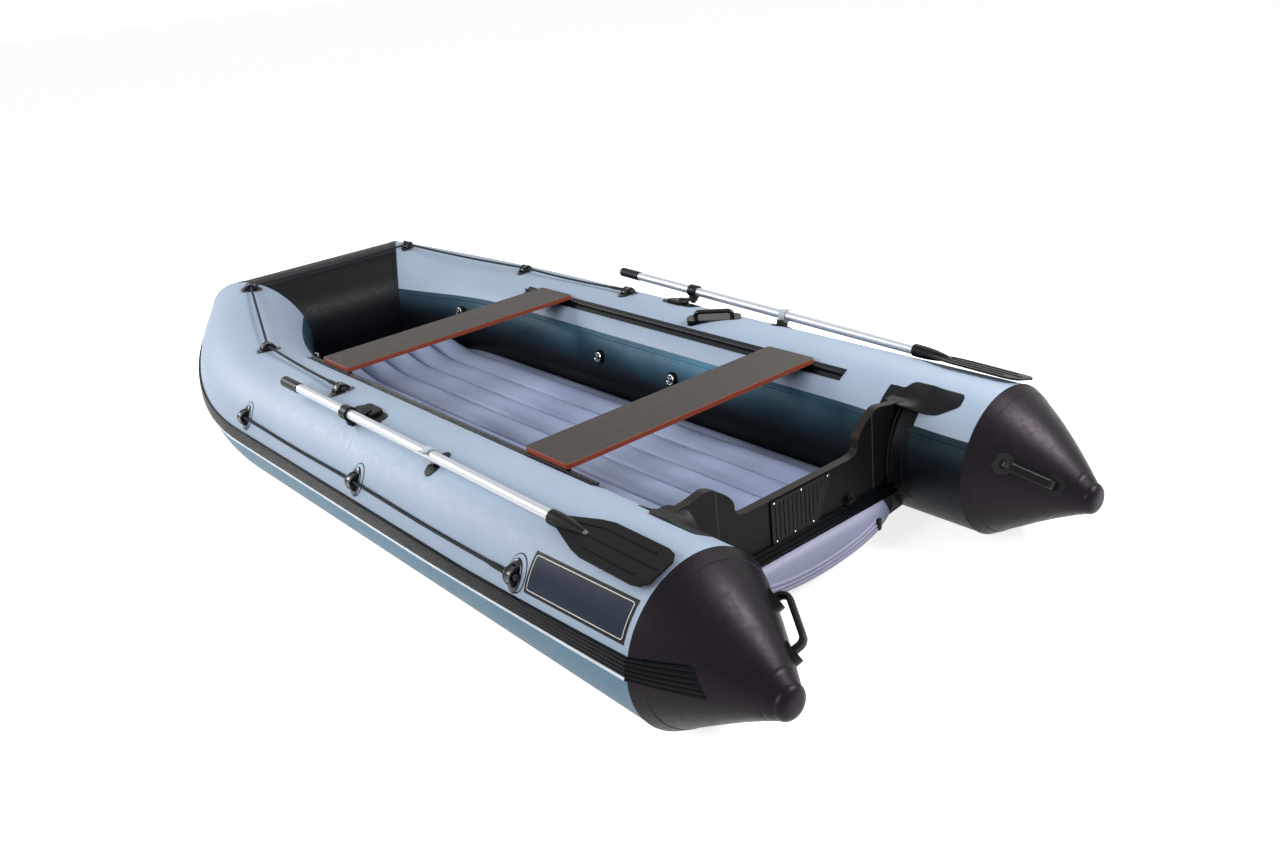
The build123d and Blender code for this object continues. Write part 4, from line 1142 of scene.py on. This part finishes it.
def eyeletPatches(along, angle, side):
    # An oval foot under a hood. The hood's section goes from the hole's circle in each
    # mouth to a rounded trapezoid, flares at both lips and is a little drawn in at its waist.
    place = (along, angle, side)
    high = eyelet["padRise"]
    rows = [(0.02, high), (0.5, high), (0.82, high), (0.92, high * 0.8), (0.98, high * 0.4), (1.0, 0.0),
            (1.0, -0.0015), (0.02, -0.0015)]
    foot = padPatch(place, *oval(eyelet["halfAhead"], eyelet["halfAround"]), rows)
    hole = (eyelet["holeRadius"] * np.cos(loopTurn),
            eyelet["holeHeight"] + eyelet["holeRadius"] * np.sin(loopTurn))
    hood = (eyelet["hoodWide"] * np.cos(loopTurn) * (1 - eyelet["hoodTaper"] * np.sin(loopTurn)),
            eyelet["hoodMiddle"] + eyelet["hoodHigh"] * np.sin(loopTurn))
    sections = [(step - eyelet["halfHood"], share) for step, share in eyelet["halfSections"]]
    sections = sections + [(0.0, eyelet["waist"])] + [(-step, share) for step, share in sections[::-1]]
    step, share = columnsOf(sections)
    around, height = (inner + share * (outer - inner) for inner, outer in zip(hole, hood))
    return [foot, {"points": nearHull(place, step, around, height)}]


def backingPatches(along, angle, side):
    # An oval of the tube's own cloth under the eyelet, with a dark ring along its edge.
    place = (along - eyelet["backingAft"], angle + eyelet["backingUp"], side)
    outline = oval(eyelet["backingAhead"], eyelet["backingAround"])
    face = padPatch(place, *outline, [(0.02, 0.0013), (0.88, 0.0013), (0.935, 0.0013), (0.935, -0.001),
                                      (0.02, -0.001)])
    edge = padPatch(place, *outline, [(0.9, 0.0010), (0.985, 0.0010), (1.0, 0.0006), (1.0, -0.001),
                                      (0.9, -0.001)], material=1)
    return [face, edge]


# The lines: the outer eyelets of a side and the top ones (distance along the side, angle), how the
# outer line hangs, the swelling of its splice, and the stopper knots.
lines = {
    "radius": 0.0052, "topRadius": 0.9 * 0.0052, "outerAngle": 25.0, "outerFootDown": 0.6,
    "outerY": (0.617, -0.181, -0.999), "outerHang": 1.6, "outerLie": 1.1, "topSag": 0.006,
    "topPlaces": ((0.2226 - hull["seamY"], 87.2), (straightLength + 0.184, 92.0),
                  (mitreLength - 0.052, 90.3)),
    "spliceLength": 0.11, "spliceSwell": 0.45,
    "knot": ((0.008, 0, 0), (0, 0.009, 0), (0, 0, 0.008)), "knotHeight": 0.0105,
    "outerKnotPast": 0.019, "topKnotPast": 0.018,
}


def spliced(distance):
    # How much thicker the line is at a distance from the eyelet that it is spliced to.
    length = lines["spliceLength"]
    return 1.0 + lines["spliceSwell"] * smoothStep(length, length * 0.7, distance)


def stopperKnot(along, angle, side):
    # A small round knot where the line ends, just past its last eyelet.
    return pebblePatch(hullPoint(along, angle, lines["knotHeight"], side), lines["knot"], 0.8)


def outerLine(side):
    # Between two eyelets the outer line sinks from the holes to the skin, as one less a fourth
    # power of the way from its middle, and hangs down a little as a sine.
    patches = []
    for foreY, aftY in zip(lines["outerY"][:-1], lines["outerY"][1:]):
        share = np.linspace(0.0, 1.0, 80)
        y = foreY + (aftY - foreY) * share
        lying = 1.0 - np.abs(2.0 * share - 1.0) ** 4
        rise = eyelet["holeHeight"] - (eyelet["holeHeight"] - lines["radius"] * lines["outerLie"]) * lying
        angle = lines["outerAngle"] - lines["outerHang"] * np.sin(pi * share)
        path = hullPoint(y - hull["seamY"], angle, rise, side)
        outward = unit(hullPoint(y - hull["seamY"], angle, rise + 0.01, side) - path)
        patches += ropePatches(path, outward, lines["radius"] * spliced(y - lines["outerY"][-1]))
    for endY, way in ((lines["outerY"][0], 1.0), (lines["outerY"][-1], -1.0)):
        past = endY + way * lines["outerKnotPast"] - hull["seamY"]
        patches.append(stopperKnot(past, lines["outerAngle"], side))
    return patches


def topLine():
    # Straight spans from hood to hood over the crest and across the bow, each a little slack, as
    # a sine. Its two aft ends are spliced.
    eyes = [hullPoint(along, angle, eyelet["holeHeight"]) for along, angle in lines["topPlaces"]]
    eyes = eyes + [eye * np.array([-1.0, 1.0, 1.0]) for eye in eyes[::-1]]
    share = np.linspace(0.0, 1.0, 60)
    upright = np.tile([0.0, 0.0, 1.0], (len(share), 1))
    fromAft = {0: share, len(eyes) - 2: 1.0 - share}
    patches = []
    for number, (first, last) in enumerate(zip(eyes[:-1], eyes[1:])):
        path = first + (last - first) * share[:, None]
        path[:, 2] -= lines["topSag"] * np.sin(pi * share)
        distance = fromAft.get(number, np.ones_like(share)) * np.linalg.norm(last - first)
        patches += ropePatches(path, upright, lines["topRadius"] * spliced(distance))
    along, angle = lines["topPlaces"][0]
    return patches + [stopperKnot(along - lines["topKnotPast"], angle, sign) for _, sign in sides]


makePiece("topEyelets", [patch for _, sign in sides for along, angle in lines["topPlaces"]
                         for patch in eyeletPatches(along, angle, sign)], glossPlastic,
          replaced=("top_eyelets",))
makePiece("topLine", topLine(), rope, replaced=("top_line",))
outerPlaces = [(y - hull["seamY"], lines["outerAngle"]) for y in lines["outerY"]]
for side, sign in sides:
    eyelets, backings = [], []
    for along, angle in outerPlaces:
        eyelets += eyeletPatches(along, angle - lines["outerFootDown"], sign)
        backings += backingPatches(along, angle, sign)
    makePiece(side + "OuterEyelets", eyelets, glossPlastic, replaced=(side + "_outer_eyelets",))
    makePiece(side + "EyeletBacking", backings, [greyFabric, blackFabric])
    makePiece(side + "OuterLine", outerLine(sign), rope, replaced=(side + "_outer_line",))
print("eyelets and lines made")

# Steel on the valves: each valve's (y, angle), the ring with its (radius, height) profile, and the
# bar across it.
valveLook = {
    "places": ((0.146, 167.5), (-0.256, 167.5), (1.098, 163.5)), "ring": 0.0155, "ringHeight": 0.0105,
    "profile": ((-0.0022, 0.0), (-0.0016, 0.0016), (0.0, 0.0024), (0.0016, 0.0016), (0.0022, 0.0),
                (0.0022, -0.003), (-0.0022, -0.003)),
    "barHalf": 0.013, "barSlant": 0.6, "barHeight": 0.016, "barWide": 0.0030, "barHigh": 0.0022,
}


def outwardAt(place):
    # The direction straight out of the skin at a place (along, angle, side).
    return unit(nearHull(place, 0.0, 0.0, 0.1) - nearHull(place, 0.0, 0.0, 0.0))


def valveMetal(side):
    # A steel ring round each valve's cap and a short steel bar across it. In the bend the distance
    # along the side is the arc whose sine reaches the valve's y.
    patches = []
    for y, angle in valveLook["places"]:
        along = y - hull["seamY"]
        if y > hull["bendY"]:
            along = straightLength + hull["bendRadius"] * np.arcsin((y - hull["bendY"]) / hull["bendRadius"])
        place = (along, angle, side)
        turn = np.linspace(0, 2 * pi, 28, endpoint=False)[None, :]
        radius, height = columnsOf(valveLook["profile"])
        radius = valveLook["ring"] + radius
        patches.append({"points": nearHull(place, radius * np.sin(turn), radius * np.cos(turn),
                                           valveLook["ringHeight"] + height)})
        half = np.linspace(-1, 1, 9) * valveLook["barHalf"]
        path = nearHull(place, half * valveLook["barSlant"], half, valveLook["barHeight"])
        patches.append(sweptPatch(path, outwardAt(place), valveLook["barWide"], valveLook["barHigh"], 0.7))
    return patches


for side, sign in sides:
    makePiece(side + "ValveMetal", valveMetal(sign), steel)

# Tow ring under the bow: a round pad (its rows are (share, height)), a webbing lug across it and
# a steel ring that hangs from the lug.
tow = {
    "angle": -38.0, "padRadius": 0.046, "padRows": ((0.02, 0.006), (0.9, 0.006), (0.97, 0.0045),
                                                    (1.0, 0.002), (1.0, -0.004), (0.02, -0.004)),
    "lugHalf": 0.017, "lugWide": 0.009, "lugHigh": 0.007, "height": 0.010,
    "ringRadius": 0.024, "wire": 0.004, "drop": 0.024,
}
towOut = outwardAt((hullLength, tow["angle"], 1.0))


def bowPoint(across, around, height):
    # A point on the bow tube near its middle: across the boat, round the tube and outwards.
    points = nearHull((hullLength, tow["angle"], 1.0), 0.0, around, height)
    points[..., 0] = across
    return points


def towPad():
    # The pad is the lug's footing: circles drawn in to its middle, each at its height.
    share, height = columnsOf(tow["padRows"])
    turn = np.linspace(0, 2 * pi, 40, endpoint=False)
    reach = share * tow["padRadius"]
    lug = bowPoint(np.linspace(-1, 1, 9) * tow["lugHalf"], np.zeros(9), tow["height"])
    return [{"points": bowPoint(reach * np.cos(turn), reach * np.sin(turn), height)},
            sweptPatch(lug, towOut, tow["lugWide"], tow["lugHigh"], 0.6)]


def towRing():
    # A circle of wire that lies along the skin, its top through the lug.
    turn = np.linspace(0, 2 * pi, 49)
    path = bowPoint(tow["ringRadius"] * np.sin(turn), tow["ringRadius"] * np.cos(turn) - tow["drop"],
                    tow["height"])
    return [sweptPatch(path, towOut, tow["wire"], tow["wire"])]


makePiece("bowTowPad", towPad(), blackRubber, replaced=("bow_tow_ring",))
makePiece("bowTowRing", towRing(), steel)
print("small metal made")

# The floor's own tone, the darker one it bounces back onto the boat, and how bright floor and
# world are: white for the camera and in reflections, dim for all other rays.
stage = {
    "reach": 60.0, "floorZ": -0.001, "floorTone": 0.80, "bounceTone": 0.10, "floorGlow": 0.80,
    "ambient": 0.22,
}


def greyOf(value):
    # A colour with the same red, green and blue.
    return (value, value, value, 1.0)


def stageFloor():
    # A pale floor that shows white to the camera and to glossy rays, and still takes the shadow.
    mesh = bpy.data.meshes.new("studioFloor")
    corners = [(x * stage["reach"], y * stage["reach"], stage["floorZ"])
               for x, y in ((-1, -1), (1, -1), (1, 1), (-1, 1))]
    mesh.from_pydata(corners, [], [(0, 1, 2, 3)])
    floor = bpy.data.objects.new("studioFloor", mesh)
    bpy.context.scene.collection.objects.link(floor)
    shader = Shader("studioFloor", greyOf(stage["floorTone"]), 0.9, specular=0.0)
    paths = shader.add("LightPath").outputs
    seen = shader.math("MAXIMUM", paths["Is Camera Ray"], paths["Is Glossy Ray"])
    seen = shader.math("MAXIMUM", seen, paths["Is Transmission Ray"])
    shader.colour(shader.mix(paths["Is Diffuse Ray"], greyOf(stage["floorTone"]),
                             greyOf(stage["bounceTone"])))
    shader.put(shader.main, "Emission Color", greyOf(1.0))
    shader.put(shader.main, "Emission Strength", shader.product(seen, stage["floorGlow"]))
    mesh.materials.append(shader.material)


def studioWorld():
    # White where the camera, glossy and transmission rays see it, and a low even light elsewhere.
    world = bpy.data.worlds.new("studio")
    bpy.context.scene.world = world
    world.use_nodes = True
    tree = world.node_tree
    background = tree.nodes["Background"]
    background.inputs["Color"].default_value = greyOf(1.0)
    paths = tree.nodes.new("ShaderNodeLightPath")
    seen = paths.outputs["Is Camera Ray"]
    for kind in ("Is Glossy Ray", "Is Transmission Ray"):
        larger = tree.nodes.new("ShaderNodeMath")
        larger.operation = "MAXIMUM"
        tree.links.new(seen, larger.inputs[0])
        tree.links.new(paths.outputs[kind], larger.inputs[1])
        seen = larger.outputs[0]
    strength = tree.nodes.new("ShaderNodeMapRange")
    strength.inputs["To Min"].default_value = stage["ambient"]
    strength.inputs["To Max"].default_value = 1.0
    tree.links.new(seen, strength.inputs["Value"])
    tree.links.new(strength.outputs["Result"], background.inputs["Strength"])


def standing(right, up, back, place):
    # A lamp's or the camera's matrix from its three axes and its place.
    return Matrix([list(row) for row in np.column_stack([right, up, back, place])] + [[0, 0, 0, 1]])


lamps = {
    "keyLamp": {"place": (-4.8, -0.6, 2.7), "aim": (-0.6, -0.3, 0.3), "size": 2.4, "power": 165.0},
    "frontLamp": {"place": (-2.7, 4.0, 2.5), "aim": (-0.6, 0.0, 0.3), "size": 1.8, "power": 135.0},
    "sideLamp": {"place": (3.4, 0.8, 3.6), "aim": (0.0, -0.1, 0.1), "size": 1.6, "power": 60.0},
    "sternLamp": {"place": (1.9, -3.3, 3.0), "aim": (0.0, -1.4, 0.3), "size": 1.4, "power": 165.0},
}


def studioLamp(name, facts):
    # A square soft lamp that looks from its place to its aim and stays out of the picture.
    lamp = bpy.data.lights.new(name, "AREA")
    lamp.size = facts["size"]
    lamp.energy = facts["power"]
    lampObject = bpy.data.objects.new(name, lamp)
    lampObject.visible_camera = False
    bpy.context.scene.collection.objects.link(lampObject)
    back = unit(np.array(facts["place"]) - np.array(facts["aim"]))
    right = unit(np.cross([0, 0, 1], back))
    lampObject.matrix_world = standing(right, np.cross(back, right), back, facts["place"])


view = {"place": (-1.998, -3.098, 1.672), "azimuth": radians(-37.91), "elevation": radians(22.95),
        "roll": radians(-6.25), "lens": 32.36, "sensor": 36.0}


def viewCamera():
    # Azimuth turns the camera away from the bow, elevation tips it down, and roll leans it over.
    azimuth, elevation, roll = view["azimuth"], view["elevation"], view["roll"]
    look = np.array([-sin(azimuth) * cos(elevation), cos(azimuth) * cos(elevation), -sin(elevation)])
    level = np.array([cos(azimuth), sin(azimuth), 0.0])
    raised = np.cross(level, look)
    camera = bpy.data.objects.new("camera", bpy.data.cameras.new("camera"))
    bpy.context.scene.collection.objects.link(camera)
    camera.data.lens = view["lens"]
    camera.data.sensor_width = view["sensor"]
    camera.matrix_world = standing(cos(roll) * level + sin(roll) * raised,
                                   cos(roll) * raised - sin(roll) * level, -look, view["place"])
    bpy.context.scene.camera = camera


stageFloor()
studioWorld()
for name, facts in lamps.items():
    studioLamp(name, facts)
viewCamera()
bpy.context.scene.view_settings.view_transform = "Standard"
print("stage set")
